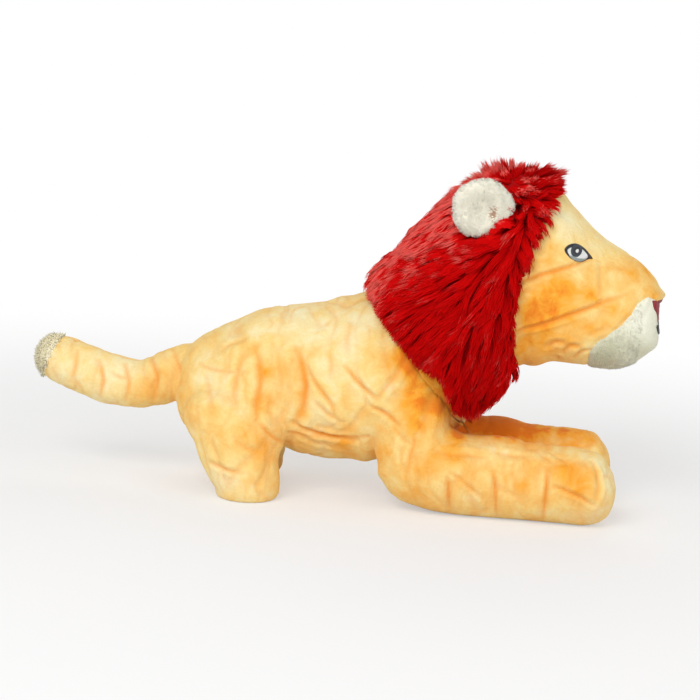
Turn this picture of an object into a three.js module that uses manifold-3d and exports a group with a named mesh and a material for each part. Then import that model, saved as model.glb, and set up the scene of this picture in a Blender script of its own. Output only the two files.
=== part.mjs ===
// A plush lion lying with its front legs stretched out: sewn cloth covers over loose fibre filling,
// a long-pile mane, round ears, a cream muzzle and a cream tail tip.
// Millimetres. +X is the way the lion faces, +Y is its left, +Z is up. The floor is at Z = 0, and the
// origin is under the middle of its length.
import * as THREE from "three";
import { mergeVertices } from "three/addons/utils/BufferGeometryUtils.js";
import Module from "manifold-3d";

const wasm = await Module();
wasm.setup();

// Sizes that serve the whole toy
const clothThickness = 3; // backing and short pile together
const seamGap = 0.3; // between any two pieces that touch
const foldGap = 0.6; // between an ear and the pile that it folds in
const weldDistance = 1e-4; // points nearer than this are one point
const pileGap = 0.9; // between the mane's pile and the legs that move under it
const cutOverrun = 4; // how far a cutting solid passes the surface that it cuts
const farReach = 600; // half the side of the blocks that stand for half of space

// Torso: a barrel from the rump to the neck seam
const torsoLength = 151;
const torsoRadius = 50;
const torsoAxisHeight = 71;
const rumpX = -107;
const bellySeamShare = 0.62;

// Neck seam: the plane where the head is sewn on, which is also where it twists
const neckTilt = 38;
const neckTwist = 12;

// Head, from the neck seam to the tip of the snout
const headLength = 146;
const headRadius = 50;
const faceSeamTilt = -9;
const muzzleSeamTilt = -36;

// Mane, a thick collar of long pile between the neck seam and the face seam
const manePile = 16; // how far its pile stands out from the head's cloth
const maneRadius = headRadius + manePile;
const maneTufts = 12;
const maneTuftShare = 0.022;

// Front legs
const frontLegLength = 131;
const frontLegRadius = 24;
const frontLegSpacing = 64;
const frontLegHeight = 24.5;
const frontLegX = 37;
const frontLegSwing = 12;
const shoulderHeight = 58;
const shoulderShare = 0.08; // of the leg's length, from its rear end to the shoulder seam

// Hind legs
const hindLegHeight = 62;
const hindLegRadius = 22;
const hindLegSpacing = 70;
const hindFootX = -55;
const hindFootStagger = 9; // how much further back the left foot stands than the right
const hindLegSwing = 12;
const hipHeight = 50;
const hipShare = 0.4; // of the leg's radius, from the foot's middle back to the hip seam
const soleThickness = 2;

// Tail, from the tip forward to the rump
const tailLength = 108;
const tailRadius = 16;
const tailRootHeight = 70;
const tailEmbedding = 18;
const tailHingeDepth = 4;
const tailTipLength = 13;
const tailSwing = 15;

// Ears
const earRadius = 19.5;
const earHalfThickness = 7;
const earDishDepth = 5;
const earDishRadius = 13;
const earYaw = 18;
const earLean = 8;
const earFold = 18;
const earEmbedding = 4;
const earAngle = 35;
const earPlaceShare = 0.625; // of the mane, from the neck seam to the ear

// Eyes, nose and mouth, which are stitched on the face
const eyeLength = 17.5;
const eyeHeight = 11;
const eyeTilt = -14;
const irisRadius = 4.4;
const glintRadius = 1.3;
const threadThickness = 0.7;
const noseWidth = 25;
const noseHeight = 12;
const noseThickness = 2;
const mouthWidth = 26;
const mouthDrop = 9;
const mouthThread = 1.6;

// Places on the head, as shares of its length and its radius from the middle of the neck seam
const muzzleTopShares = [0.918, 1.04];
const eyePlaceShares = [0.623, 1.48];
const nosePlaceShares = [0.9, 0.86];

// Outlines, as shares of the half width and the height of what they draw. The mouth's run from its left
// corner over the upper edge of the stitching to the right corner, and only the line under the nose has a
// rise of 1.
const noseOutlineShares = [
  [-1, 0.5],
  [-0.86, 0],
  [-0.3, -0.46],
  [0.3, -0.46],
  [0.86, 0],
  [1, 0.5],
];
const mouthUpperShares = [
  [-1, -0.55],
  [-0.5, -0.42],
  [-0.06, 0],
  [-0.06, 1],
  [0.06, 1],
  [0.06, 0],
  [0.5, -0.42],
  [1, -0.55],
];
const mouthLowerShares = [
  [1, -0.55],
  [0.5, -0.42],
  [0, 0],
  [-0.5, -0.42],
  [-1, -0.55],
];

const degrees = Math.PI / 180;

// How many angles of a joint stand for all of its range where a neighbour is cut clear of it
const twistSteps = 3;
const swingSteps = 5;

// Each row of a shares table is one section of a form, and the form runs through them in order:
// along and rise place its middle, tilt is its lean in degrees, up, down and side are its half sizes as
// shares of the form's radius, and pinch is the share by which its sides draw in at the top and spread at
// the bottom.
const torsoShares = [
  [0, -0.24, 0, 0, 0, 0, 0],
  [0.02, -0.24, 0, 0.34, 0.34, 0.36, 0],
  [0.06, -0.22, 0, 0.56, 0.56, 0.58, 0],
  [0.13, -0.2, 0, 0.7, 0.7, 0.72, 0],
  [0.235, -0.14, 0, 0.8, 0.8, 0.84, 0],
  [0.34, -0.06, 0, 0.87, 0.87, 0.88, 0],
  [0.46, 0, 0, 0.9, 0.92, 0.88, 0],
  [0.59, 0, 0, 0.96, 0.98, 0.9, 0],
  [0.7, 0.04, 8, 1, 1.02, 0.93, 0],
  [0.81, 0.1, 18, 1.01, 1.04, 0.96, 0],
  [0.91, 0.22, 28, 1.01, 1.02, 0.98, 0],
  [1, 0.36, neckTilt, 1, 1, 0.98, 0],
];
const headShares = [
  [0, 0, neckTilt, 0.98, 0.98, 0.98, 0],
  [0.13, 0.34, 32, 1.04, 0.86, 0.97, 0],
  [0.26, 0.7, 20, 1.12, 0.8, 0.97, 0],
  [0.38, 0.98, 8, 1.16, 0.9, 0.94, 0.02],
  [0.5, 1.1, -4, 1.08, 1.04, 0.87, 0.08],
  [0.6, 1, -9, 0.85, 0.93, 0.79, 0.16],
  [0.7, 0.88, -8, 0.75, 0.83, 0.7, 0.22],
  [0.79, 0.81, -8, 0.69, 0.77, 0.63, 0.24],
  [0.87, 0.76, -10, 0.6, 0.71, 0.56, 0.22],
  [0.922, 0.74, -10, 0.48, 0.62, 0.48, 0.16],
  [0.955, 0.72, -8, 0.36, 0.47, 0.37, 0.1],
  [0.975, 0.7, -6, 0.21, 0.27, 0.22, 0],
  [0.982, 0.69, -6, 0, 0, 0, 0],
];
const maneShares = [
  [0, 0, neckTilt, 0.84, 0.82, 0.82, 0],
  [0.05, 0.12, 35, 0.9, 0.82, 0.92, 0],
  [0.11, 0.3, 30, 0.95, 0.8, 0.99, 0],
  [0.2, 0.56, 22, 1.04, 0.8, 1.02, 0],
  [0.31, 0.86, 10, 1.13, 0.87, 1, 0.04],
  [0.39, 1.04, -2, 1.11, 0.89, 0.9, 0.06],
  [0.445, 1.12, faceSeamTilt, 1, 0.84, 0.78, 0.06],
];
const frontLegShares = [
  [0.09, 2.6, -72, 0, 0, 0, 0],
  [0.085, 2.45, -72, 0.5, 0.62, 0.4, 0],
  [0.07, 2.05, -70, 0.74, 1, 0.72, 0],
  [0.06, 1.5, -64, 0.96, 1.14, 0.92, 0],
  [0.065, 0.95, -52, 1.08, 1.14, 1.02, 0],
  [0.1, 0.45, -36, 1.1, 1.28, 1.06, 0],
  [0.17, 0.15, -16, 1.08, 1.13, 1.06, 0],
  [0.28, 0.02, -5, 1.04, 1.06, 1.04, 0],
  [0.43, 0, 0, 1.04, 1.04, 1.02, 0],
  [0.6, 0, 0, 1, 1.04, 0.98, 0],
  [0.76, 0, 0, 1, 1.04, 1.02, 0],
  [0.87, 0, 0, 0.98, 1.04, 1.04, 0],
  [0.94, -0.04, 0, 0.8, 0.86, 0.9, 0],
  [0.985, -0.08, 0, 0.46, 0.5, 0.56, 0],
  [1, -0.08, 0, 0, 0, 0, 0],
];
const hindLegShares = [
  [-0.55, 1.08, -90, 0, 0, 0, 0],
  [-0.55, 1.04, -90, 0.8, 0.8, 0.5, 0],
  [-0.52, 0.88, -90, 1.3, 1.3, 0.86, 0],
  [-0.46, 0.67, -90, 1.4, 1.36, 0.98, 0],
  [-0.3, 0.46, -90, 1.25, 1.24, 0.97, 0],
  [-0.12, 0.25, -90, 1.04, 1.1, 0.94, 0],
  [0, 0.1, -90, 0.93, 0.93, 0.9, 0],
  [0, 0.03, -90, 0.86, 0.86, 0.84, 0],
  [0, 0, -90, 0.8, 0.8, 0.78, 0],
];
const tailShares = [
  [0, 0.4, -22, 0, 0, 0, 0],
  [0.01, 0.38, -22, 0.4, 0.4, 0.4, 0],
  [0.045, 0.28, -22, 0.77, 0.76, 0.78, 0],
  [0.12, 0.08, -22, 0.95, 0.94, 0.95, 0],
  [0.26, -0.25, -18, 1, 1, 0.98, 0],
  [0.38, -0.52, -10, 0.99, 0.99, 0.98, 0],
  [0.5, -0.66, -2, 0.96, 0.96, 0.96, 0],
  [0.61, -0.7, 5, 0.93, 0.94, 0.94, 0],
  [0.72, -0.5, 14, 0.95, 0.96, 0.96, 0],
  [0.83, -0.2, 18, 1.01, 1.01, 1, 0],
  [0.93, 0, 16, 1.05, 1.04, 1.02, 0],
  [0.97, 0.03, 14, 0.8, 0.8, 0.8, 0],
  [1, 0.05, 14, 0, 0, 0, 0],
];

// Where the forms stand, worked out from the sizes above
const neckCentre = new THREE.Vector3(
  rumpX + torsoLength,
  0,
  torsoAxisHeight + torsoShares.at(-1)[1] * torsoRadius,
);
const neckNormal = tiltedNormal(neckTilt);
const shoulderX = frontLegX + shoulderShare * frontLegLength;
const shoulder = new THREE.Vector3(shoulderX, frontLegSpacing / 2, shoulderHeight);
const hip = new THREE.Vector3(hindFootX - hipShare * hindLegRadius, hindLegSpacing / 2, hipHeight);
const tailRoot = new THREE.Vector3(rumpX + tailHingeDepth, 0, tailRootHeight);

function tiltedNormal(tilt) {
  return new THREE.Vector3(Math.cos(tilt * degrees), 0, Math.sin(tilt * degrees));
}

// How far to either side of a point, as a share of a ring or of a radian, its slope is measured
const normalStepShare = 0.01;

// A stuffed form. place(along, rise, out) turns a row's shares into a point, and radius scales its section.
// perRow is how many rings there are for each row, and tuft is an optional ripple of the section's size.
function makeForm({ shares, place, radius, sides, perRow = 1, tuft = null }) {
  const spine = shares.map(([along, rise]) => place(along, rise));
  const girth = shares.map(([, , , up, down, side]) => new THREE.Vector3(up, down, side));
  const lean = shares.map(([, , tilt, , , , pinch]) => new THREE.Vector3(tilt, pinch, 0));
  const curveThrough = (points) => new THREE.CatmullRomCurve3(points, false, "catmullrom", 0.5);
  const curves = [spine, girth, lean].map(curveThrough);
  const rings = (shares.length - 1) * perRow;

  function surface(u, angle) {
    const [middle, size, bend] = curves.map((curve) => curve.getPoint(THREE.MathUtils.clamp(u, 0, 1)));
    const upward = Math.sin(angle);
    const ripple = tuft ? tuft(u, angle) : 1;
    const high = radius * ripple * upward * Math.max(0, upward > 0 ? size.x : size.y);
    const wide = radius * ripple * Math.cos(angle) * Math.max(0, size.z) * (1 - bend.y * upward);
    const tilt = bend.x * degrees;
    const [back, up] = [Math.sin(tilt) * high, Math.cos(tilt) * high];
    return new THREE.Vector3(middle.x - back, middle.y + wide, middle.z + up);
  }

  function normalAt(ring, angle) {
    const stepU = normalStepShare / rings;
    const stepAngle = normalStepShare;
    const u = ring / rings;
    const alongWay = surface(u + stepU, angle).sub(surface(u - stepU, angle));
    const roundWay = surface(u, angle + stepAngle).sub(surface(u, angle - stepAngle));
    return roundWay.cross(alongWay).normalize();
  }

  // The form's closed surface, moved outwards by grow. An end with no width closes in a point. A flat end
  // keeps its plane, or runs on by overrun.
  function geometry(grow = 0, overrun = 0, hand = 1) {
    const loops = [];
    for (let ring = 0; ring <= rings; ring += 1) {
      const atEnd = ring === 0 || ring === rings;
      const row = shares[ring === 0 ? 0 : shares.length - 1];
      const outwards = tiltedNormal(row[2]).multiplyScalar(ring === 0 ? -1 : 1);
      const pointed = atEnd && row[5] === 0;
      if (pointed) {
        loops.push([surface(ring / rings, 0).addScaledVector(outwards, grow)]);
        continue;
      }
      const loop = [];
      for (let side = 0; side < sides; side += 1) {
        const angle = (2 * Math.PI * side) / sides;
        const normal = normalAt(ring, angle);
        if (atEnd) normal.addScaledVector(outwards, -normal.dot(outwards)).normalize();
        loop.push(surface(ring / rings, angle).addScaledVector(normal, grow));
      }
      const runOn = overrun ? loop.map((point) => point.clone().addScaledVector(outwards, overrun)) : null;
      if (runOn && ring === 0) loops.push(runOn);
      loops.push(loop);
      if (runOn && atEnd && ring > 0) loops.push(runOn);
    }
    return closedSurface(loops, hand);
  }
  return { surface, geometry, shares, radius };
}

// Joins loops of points, in order, into one closed surface. hand is -1 for the mirrored, right-hand copy.
function closedSurface(loops, hand) {
  const points = [];
  const faces = [];
  const starts = loops.map((loop) => {
    const start = points.length / 3;
    loop.forEach((point) => points.push(point.x, point.y * hand, point.z));
    return start;
  });
  const face = (a, b, c) => (hand > 0 ? faces.push(a, b, c) : faces.push(a, c, b));
  for (let ring = 0; ring + 1 < loops.length; ring += 1) {
    const count = Math.max(loops[ring].length, loops[ring + 1].length);
    for (let side = 0; side < count; side += 1) {
      const next = (side + 1) % count;
      const corner = (which, step) => starts[which] + (loops[which].length === 1 ? 0 : step);
      const [here, ahead] = [corner(ring, next), corner(ring + 1, side)];
      if (loops[ring].length > 1) face(corner(ring, side), here, ahead);
      if (loops[ring + 1].length > 1) face(here, corner(ring + 1, next), ahead);
    }
  }
  [0, loops.length - 1].forEach((end) => {
    const loop = loops[end];
    if (loop.length === 1) return;
    const total = loop.reduce((sum, point) => sum.add(point), new THREE.Vector3());
    const middle = total.divideScalar(loop.length);
    const centre = points.length / 3;
    points.push(middle.x, middle.y * hand, middle.z);
    loop.forEach((point, side) => {
      const here = starts[end] + side;
      const next = starts[end] + ((side + 1) % loop.length);
      if (end === 0) face(centre, next, here);
      else face(centre, here, next);
    });
  });
  const made = new THREE.BufferGeometry();
  made.setAttribute("position", new THREE.BufferAttribute(new Float32Array(points), 3));
  made.setIndex(faces);
  return made;
}

// A geometry as a solid that can be joined and cut, and back again
function solidOf(geometry) {
  const bare = geometry.clone();
  bare.deleteAttribute("normal");
  bare.deleteAttribute("uv");
  const merged = mergeVertices(bare, weldDistance);
  return new wasm.Manifold(
    new wasm.Mesh({
      numProp: 3,
      vertProperties: new Float32Array(merged.attributes.position.array),
      triVerts: new Uint32Array(merged.index.array),
    }),
  );
}

function geometryOf(solid) {
  const { vertProperties, triVerts } = solid.getMesh();
  const made = new THREE.BufferGeometry();
  made.setAttribute("position", new THREE.BufferAttribute(vertProperties, 3));
  made.setIndex(new THREE.BufferAttribute(triVerts, 1));
  made.computeVertexNormals();
  return made;
}

// The largest body of a cut solid, without the chips that a cut can leave
function largest(solid) {
  return solid.decompose().sort((one, other) => other.volume() - one.volume())[0];
}

// All of space on the side of a plane that its normal points to
function beyond(point, normal) {
  const block = new THREE.BoxGeometry(2 * farReach, 2 * farReach, 2 * farReach);
  block.translate(0, 0, farReach);
  block.applyQuaternion(new THREE.Quaternion().setFromUnitVectors(new THREE.Vector3(0, 0, 1), normal));
  block.translate(point.x, point.y, point.z);
  return solidOf(block);
}

// A flat outline, given in millimetres, pushed through space along an axis that points at the viewer
function prism(points, place, facing) {
  const outline = new THREE.Shape(points);
  const drawn = new THREE.ExtrudeGeometry(outline, { depth: farReach, bevelEnabled: false });
  const across = new THREE.Vector3().crossVectors(new THREE.Vector3(0, 0, 1), facing).normalize();
  const upright = new THREE.Vector3().crossVectors(facing, across);
  drawn.applyMatrix4(new THREE.Matrix4().makeBasis(across, upright, facing).setPosition(place));
  return solidOf(drawn);
}

// The copies that a geometry makes as it turns about a hinge, joined. Angles are in degrees.
function swept(geometry, hinge, axis, angles) {
  return angles
    .map((angle) => solidOf(turnedAbout(geometry, hinge, axis, angle)))
    .reduce((all, one) => all.add(one));
}

function turnedAbout(geometry, hinge, axis, angle) {
  const copy = geometry.clone().translate(-hinge.x, -hinge.y, -hinge.z);
  copy.applyQuaternion(new THREE.Quaternion().setFromAxisAngle(axis, angle * degrees));
  return copy.translate(hinge.x, hinge.y, hinge.z);
}

function stepsBetween(low, high, count) {
  return Array.from({ length: count }, (_, step) => low + ((high - low) * step) / (count - 1));
}

const forward = new THREE.Vector3(1, 0, 0);
const leftward = new THREE.Vector3(0, 1, 0);
const upward = new THREE.Vector3(0, 0, 1);
const mirrored = (point, hand) => new THREE.Vector3(point.x, point.y * hand, point.z);

// Stuffed forms
const torsoForm = makeForm({
  shares: torsoShares,
  place: (along, rise) =>
    new THREE.Vector3(rumpX + along * torsoLength, 0, torsoAxisHeight + rise * torsoRadius),
  radius: torsoRadius,
  sides: 28,
});
const fromNeck = (along, rise) =>
  new THREE.Vector3(neckCentre.x + along * headLength, 0, neckCentre.z + rise * headRadius);
const headForm = makeForm({
  shares: headShares,
  place: fromNeck,
  radius: headRadius,
  sides: 28,
});
const maneForm = makeForm({
  shares: maneShares,
  place: fromNeck,
  radius: maneRadius,
  sides: 3 * maneTufts,
  tuft: (u, angle) => 1 + maneTuftShare * Math.sin(maneTufts * (angle + u * Math.PI)),
});
const frontLegForm = makeForm({
  shares: frontLegShares,
  place: (along, rise) =>
    new THREE.Vector3(
      frontLegX + along * frontLegLength,
      frontLegSpacing / 2,
      frontLegHeight + rise * frontLegRadius,
    ),
  radius: frontLegRadius,
  sides: 18,
});
const hindLegForm = (stagger) =>
  makeForm({
    shares: hindLegShares,
    place: (along, rise) =>
      new THREE.Vector3(
        hindFootX + along * hindLegRadius - stagger * (1 - rise),
        hindLegSpacing / 2,
        rise * hindLegHeight,
      ),
    radius: hindLegRadius,
    sides: 18,
  });
const tailForm = makeForm({
  shares: tailShares,
  place: (along, rise) =>
    new THREE.Vector3(
      rumpX + tailEmbedding + (along - 1) * tailLength,
      0,
      tailRootHeight + rise * tailRadius,
    ),
  radius: tailRadius,
  sides: 14,
});

// Finished meshes, by body
const lion = new THREE.Group();
const gold = { color: 0xf7b45a, roughness: 0.92, metalness: 0 };
const cream = { color: 0xe6e2cf, roughness: 0.95, metalness: 0 };
const red = { color: 0xb3121c, roughness: 0.9, metalness: 0 };
const fibre = { color: 0xf4f4f0, roughness: 1, metalness: 0 };
const black = { color: 0x15161a, roughness: 0.6, metalness: 0 };
const white = { color: 0xf2f2f0, roughness: 0.7, metalness: 0 };
const darkRed = { color: 0x7d1018, roughness: 0.7, metalness: 0 };

function add(name, solid, finish) {
  const mesh = new THREE.Mesh(geometryOf(largest(solid)), new THREE.MeshStandardMaterial(finish));
  mesh.name = name;
  lion.add(mesh);
}

const onHands = (build) => [["left", 1], ["right", -1]].forEach(([side, hand]) => build(side, hand));

// Everything on one hand of the middle, half a seam gap off it
function halfSpace(hand) {
  const seam = new THREE.Vector3(0, (hand * seamGap) / 2, 0);
  return beyond(seam, leftward.clone().multiplyScalar(hand));
}

// Torso: a left and a right panel that meet along the spine, a belly panel, and the filling
function buildTorso() {
  const inside = solidOf(torsoForm.geometry(-clothThickness, cutOverrun));
  const cover = solidOf(torsoForm.geometry()).subtract(inside);
  const bellyLine = torsoShares.map(([along, rise, tilt, , down]) => {
    const drop = down * torsoRadius * bellySeamShare;
    return new THREE.Vector2(
      rumpX + along * torsoLength + Math.sin(tilt * degrees) * drop,
      torsoAxisHeight + rise * torsoRadius - Math.cos(tilt * degrees) * drop,
    );
  });
  const below = (drop) =>
    prism(
      [
        new THREE.Vector2(bellyLine[0].x - farReach / 2, bellyLine[0].y - drop),
        ...bellyLine.map((point) => new THREE.Vector2(point.x, point.y - drop)),
        new THREE.Vector2(bellyLine.at(-1).x + farReach / 2, bellyLine.at(-1).y - drop),
        new THREE.Vector2(bellyLine.at(-1).x + farReach / 2, -farReach / 2),
        new THREE.Vector2(bellyLine[0].x - farReach / 2, -farReach / 2),
      ],
      new THREE.Vector3(0, farReach / 2, 0),
      leftward.clone().negate(),
    );
  onHands((side, hand) => {
    const half = halfSpace(hand);
    add(`torso_panel_${side}`, cover.intersect(half).subtract(below(0)), gold);
  });
  add("belly_panel", cover.intersect(below(seamGap)), gold);
  add("torso_stuffing", solidOf(torsoForm.geometry(-clothThickness - seamGap)), fibre);
}

// Head: two golden face panels, the cream muzzle, the mane in two halves, and the filling.
// The neck seam's gap is taken from the head, so that it can twist on the torso's flat end.
const headBack = beyond(neckCentre.clone().addScaledVector(neckNormal, seamGap), neckNormal);
const faceSeamPoint = fromNeck(...maneShares.at(-1).slice(0, 2));
const faceNormal = tiltedNormal(faceSeamTilt);
const muzzleTop = fromNeck(...muzzleTopShares);
const muzzleNormal = tiltedNormal(muzzleSeamTilt);

function buildHead(manes) {
  const inside = solidOf(headForm.geometry(-clothThickness, cutOverrun));
  const shell = solidOf(headForm.geometry()).subtract(inside);
  const faceStart = faceSeamPoint.clone().addScaledVector(faceNormal, seamGap);
  const face = shell.intersect(beyond(faceStart, faceNormal));
  const ahead = beyond(muzzleTop.clone().addScaledVector(muzzleNormal, seamGap), muzzleNormal);
  add("muzzle_panel", face.intersect(ahead), cream);
  const golden = face.subtract(beyond(muzzleTop, muzzleNormal));
  onHands((side, hand) => {
    const half = halfSpace(hand);
    add(`face_panel_${side}`, golden.intersect(half), gold);
    add(`mane_${side}`, manes.intersect(half), red);
  });
  add("head_stuffing", solidOf(headForm.geometry(-clothThickness - seamGap)).intersect(headBack), fibre);
}

// The mane round the head's filling, cut clear of the ears and of the front legs as they move
function buildMane(earsAtWork) {
  const hollow = solidOf(headForm.geometry(-clothThickness, cutOverrun));
  const legAngles = stepsBetween(-frontLegSwing, frontLegSwing, twistSteps);
  const neckAngles = stepsBetween(-neckTwist, neckTwist, twistSteps);
  const movingLegs = onBoth((hand) => {
    const leg = frontLegForm.geometry(pileGap, 0, hand);
    return legAngles
      .map((angle) => turnedAbout(leg, mirrored(shoulder, hand), leftward, angle))
      .map((lifted) => swept(lifted, neckCentre, neckNormal, neckAngles))
      .reduce((all, one) => all.add(one));
  });
  return solidOf(maneForm.geometry())
    .intersect(headBack)
    .subtract(hollow)
    .subtract(movingLegs.subtract(solidOf(headForm.geometry())))
    .subtract(earsAtWork);
}

function onBoth(build) {
  return build(1).add(build(-1));
}

// Ears: round and dished, of a back piece and a lining, each sewn to the head at the foot of the ear
const earSeat = earSeatOn(maneForm);

function earSeatOn(form) {
  const angle = earAngle * degrees;
  const seat = form.surface(earPlaceShare, angle);
  return seat.addScaledVector(new THREE.Vector3(0, Math.cos(angle), Math.sin(angle)), -earEmbedding);
}

// Stands an ear, drawn flat about its middle, on its foot, and then puts it on its seat
function earPlaced(geometry, hand) {
  return earSeated(geometry.clone().rotateX(-90 * degrees).translate(0, 0, earRadius), hand);
}

function earSeated(geometry, hand) {
  const placed = geometry.clone();
  placed.rotateX(-earLean * degrees);
  placed.rotateZ(-earYaw * degrees);
  placed.translate(earSeat.x, earSeat.y, earSeat.z);
  if (hand < 0) {
    placed.scale(1, -1, 1);
    const order = placed.index.array;
    for (let corner = 0; corner < order.length; corner += 3) {
      [order[corner + 1], order[corner + 2]] = [order[corner + 2], order[corner + 1]];
    }
  }
  return placed;
}

// The room that a standing ear takes as it folds about its foot: its front half at the forward end of the
// range, and its back half at the other end
function foldRoom() {
  const rings = 12;
  const sides = 24;
  const loops = [];
  for (let ring = 0; ring <= rings; ring += 1) {
    const rise = (Math.PI * ring) / rings;
    const height = earRadius - (earRadius + foldGap) * Math.cos(rise);
    const fold = height > 0 ? earFold * degrees : 0;
    const loop = [];
    for (let side = 0; side < (ring % rings ? sides : 1); side += 1) {
      const angle = (2 * Math.PI * (side + 0.5)) / sides;
      const wide = (earRadius + foldGap) * Math.sin(rise) * Math.cos(angle);
      const deep = (earHalfThickness + foldGap) * Math.sin(rise) * Math.sin(angle);
      const point = new THREE.Vector3(wide, ring % rings ? deep : 0, height);
      loop.push(point.applyAxisAngle(forward, ring % rings ? -Math.sign(deep) * fold : 0));
    }
    loops.push(loop);
  }
  return closedSurface(loops, 1);
}

function buildEars() {
  onHands((side, hand) => {
    const place = (geometry) => solidOf(earPlaced(geometry, hand));
    const dish = new THREE.SphereGeometry(1, 16, 10).scale(earDishRadius, earDishRadius, earDishDepth);
    const lens = new THREE.SphereGeometry(1, 20, 12).scale(earRadius, earRadius, earHalfThickness);
    const whole = place(lens);
    const front = new THREE.BoxGeometry(4 * earRadius, 4 * earRadius, 2 * earRadius);
    const frontHalf = place(front.clone().translate(0, 0, earRadius + seamGap / 2));
    const backHalf = place(front.clone().translate(0, 0, -earRadius - seamGap / 2));
    add(`ear_back_${side}`, whole.intersect(backHalf), cream);
    add(
      `ear_lining_${side}`,
      whole.intersect(frontHalf).subtract(place(dish.translate(0, 0, earHalfThickness))),
      cream,
    );
  });
  return onBoth((hand) => solidOf(earSeated(foldRoom(), hand)));
}

// Stitching on the face: a layer of the head's own surface, cut to an outline
function stitched(outline, low, high) {
  const layer = solidOf(headForm.geometry(high)).subtract(solidOf(headForm.geometry(low)));
  return layer.intersect(outline);
}

function almond(length, height) {
  const shape = new THREE.Shape();
  shape.moveTo(-length / 2, 0);
  shape.quadraticCurveTo(0, height, length / 2, 0);
  shape.quadraticCurveTo(0, -height, -length / 2, 0);
  return shape.getPoints(8).slice(0, -1);
}

function disc(radius, sides) {
  return Array.from({ length: sides }, (_, side) => {
    const angle = (2 * Math.PI * side) / sides;
    return new THREE.Vector2(radius * Math.cos(angle), radius * Math.sin(angle));
  });
}

function turned(points, angle) {
  return points.map((point) => point.clone().rotateAround(new THREE.Vector2(), angle * degrees));
}

const eyeCentre = fromNeck(...eyePlaceShares);
const noseCentre = fromNeck(...nosePlaceShares);

function buildEyes() {
  onHands((side, hand) => {
    const facing = leftward.clone().multiplyScalar(hand);
    const tilt = hand > 0 ? -eyeTilt : eyeTilt;
    const eye = prism(turned(almond(eyeLength, eyeHeight), tilt), eyeCentre, facing);
    const iris = prism(disc(irisRadius, 14), eyeCentre, facing);
    const glint = prism(disc(glintRadius, 8), eyeCentre, facing);
    const layers = [0, 1, 2].map((layer) => seamGap + layer * (threadThickness + seamGap));
    add(`eye_white_${side}`, stitched(eye, layers[0], layers[0] + threadThickness), white);
    add(`eye_iris_${side}`, stitched(iris, layers[1], layers[1] + threadThickness), black);
    add(`eye_glint_${side}`, stitched(glint, layers[2], layers[2] + threadThickness), white);
  });
}

function buildNose() {
  const outline = noseOutlineShares.map(
    ([out, rise]) => new THREE.Vector2((out * noseWidth) / 2, rise * noseHeight),
  );
  add("nose", stitched(prism(outline, noseCentre, forward), seamGap, seamGap + noseThickness), darkRed);
  const noseFoot = Math.min(...outline.map((point) => point.y));
  const lip = (thread) => ([out, rise]) =>
    new THREE.Vector2((out * mouthWidth) / 2, noseFoot - seamGap - mouthDrop + rise * mouthDrop - thread);
  const lips = [...mouthUpperShares.map(lip(0)), ...mouthLowerShares.map(lip(mouthThread))];
  const mouth = prism(lips.reverse(), noseCentre, forward);
  add("mouth_stitching", stitched(mouth, seamGap, seamGap + threadThickness), black);
}

// A leg's cover and filling, cut clear of the torso at every angle that the leg can take
function buildFrontLegs() {
  const floor = beyond(new THREE.Vector3(0, 0, 0), upward);
  onHands((side, hand) => {
    const hinge = mirrored(shoulder, hand);
    const angles = stepsBetween(-frontLegSwing, frontLegSwing, swingSteps);
    const torsoAtWork = swept(torsoForm.geometry(seamGap), hinge, leftward, angles);
    const headAtWork = swept(headForm.geometry(pileGap), hinge, leftward, angles);
    const trim = (solid) => solid.intersect(floor).subtract(torsoAtWork).subtract(headAtWork);
    const whole = solidOf(frontLegForm.geometry(0, 0, hand));
    const inner = solidOf(frontLegForm.geometry(-clothThickness, 0, hand));
    const filling = solidOf(frontLegForm.geometry(-clothThickness - seamGap, 0, hand));
    add(`front_leg_cover_${side}`, trim(whole.subtract(inner)), gold);
    add(`front_leg_stuffing_${side}`, trim(filling), fibre);
  });
}

function buildHindLegs() {
  const soleTop = beyond(new THREE.Vector3(0, 0, soleThickness), upward);
  const aboveSole = beyond(new THREE.Vector3(0, 0, soleThickness + seamGap), upward);
  onHands((side, hand) => {
    const hinge = mirrored(hip, hand);
    const angles = stepsBetween(-hindLegSwing, hindLegSwing, swingSteps);
    const torsoAtWork = swept(torsoForm.geometry(seamGap), hinge, leftward, angles);
    const form = hindLegForm(hand > 0 ? hindFootStagger : 0);
    const whole = solidOf(form.geometry(0, 0, hand));
    const inner = solidOf(form.geometry(-clothThickness, cutOverrun, hand));
    const filling = solidOf(form.geometry(-clothThickness - seamGap, 0, hand));
    add(`hind_leg_cover_${side}`, whole.subtract(inner).subtract(torsoAtWork), gold);
    add(`hind_leg_stuffing_${side}`, filling.intersect(aboveSole).subtract(torsoAtWork), fibre);
    add(`hind_foot_sole_${side}`, filling.subtract(soleTop), gold);
  });
}

function buildTail() {
  const swings = stepsBetween(-tailSwing, tailSwing, swingSteps);
  const torsoAtWork = swept(torsoForm.geometry(seamGap), tailRoot, upward, swings);
  const cover = solidOf(tailForm.geometry()).subtract(solidOf(tailForm.geometry(-clothThickness)));
  const tipSeam = new THREE.Vector3(tailForm.surface(0, 0).x + tailTipLength, 0, tailRootHeight);
  const tipNormal = tiltedNormal(tailShares[1][2]);
  const pastTip = (gap) => beyond(tipSeam.clone().addScaledVector(tipNormal, gap), tipNormal);
  add("tail_tip_cover", cover.subtract(pastTip(0)), cream);
  add("tail_cover", cover.intersect(pastTip(seamGap)).subtract(torsoAtWork), gold);
  add("tail_stuffing", solidOf(tailForm.geometry(-clothThickness - seamGap)).subtract(torsoAtWork), fibre);
}

buildTorso();
buildHead(buildMane(buildEars()));
buildEyes();
buildNose();
buildFrontLegs();
buildHindLegs();
buildTail();

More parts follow.
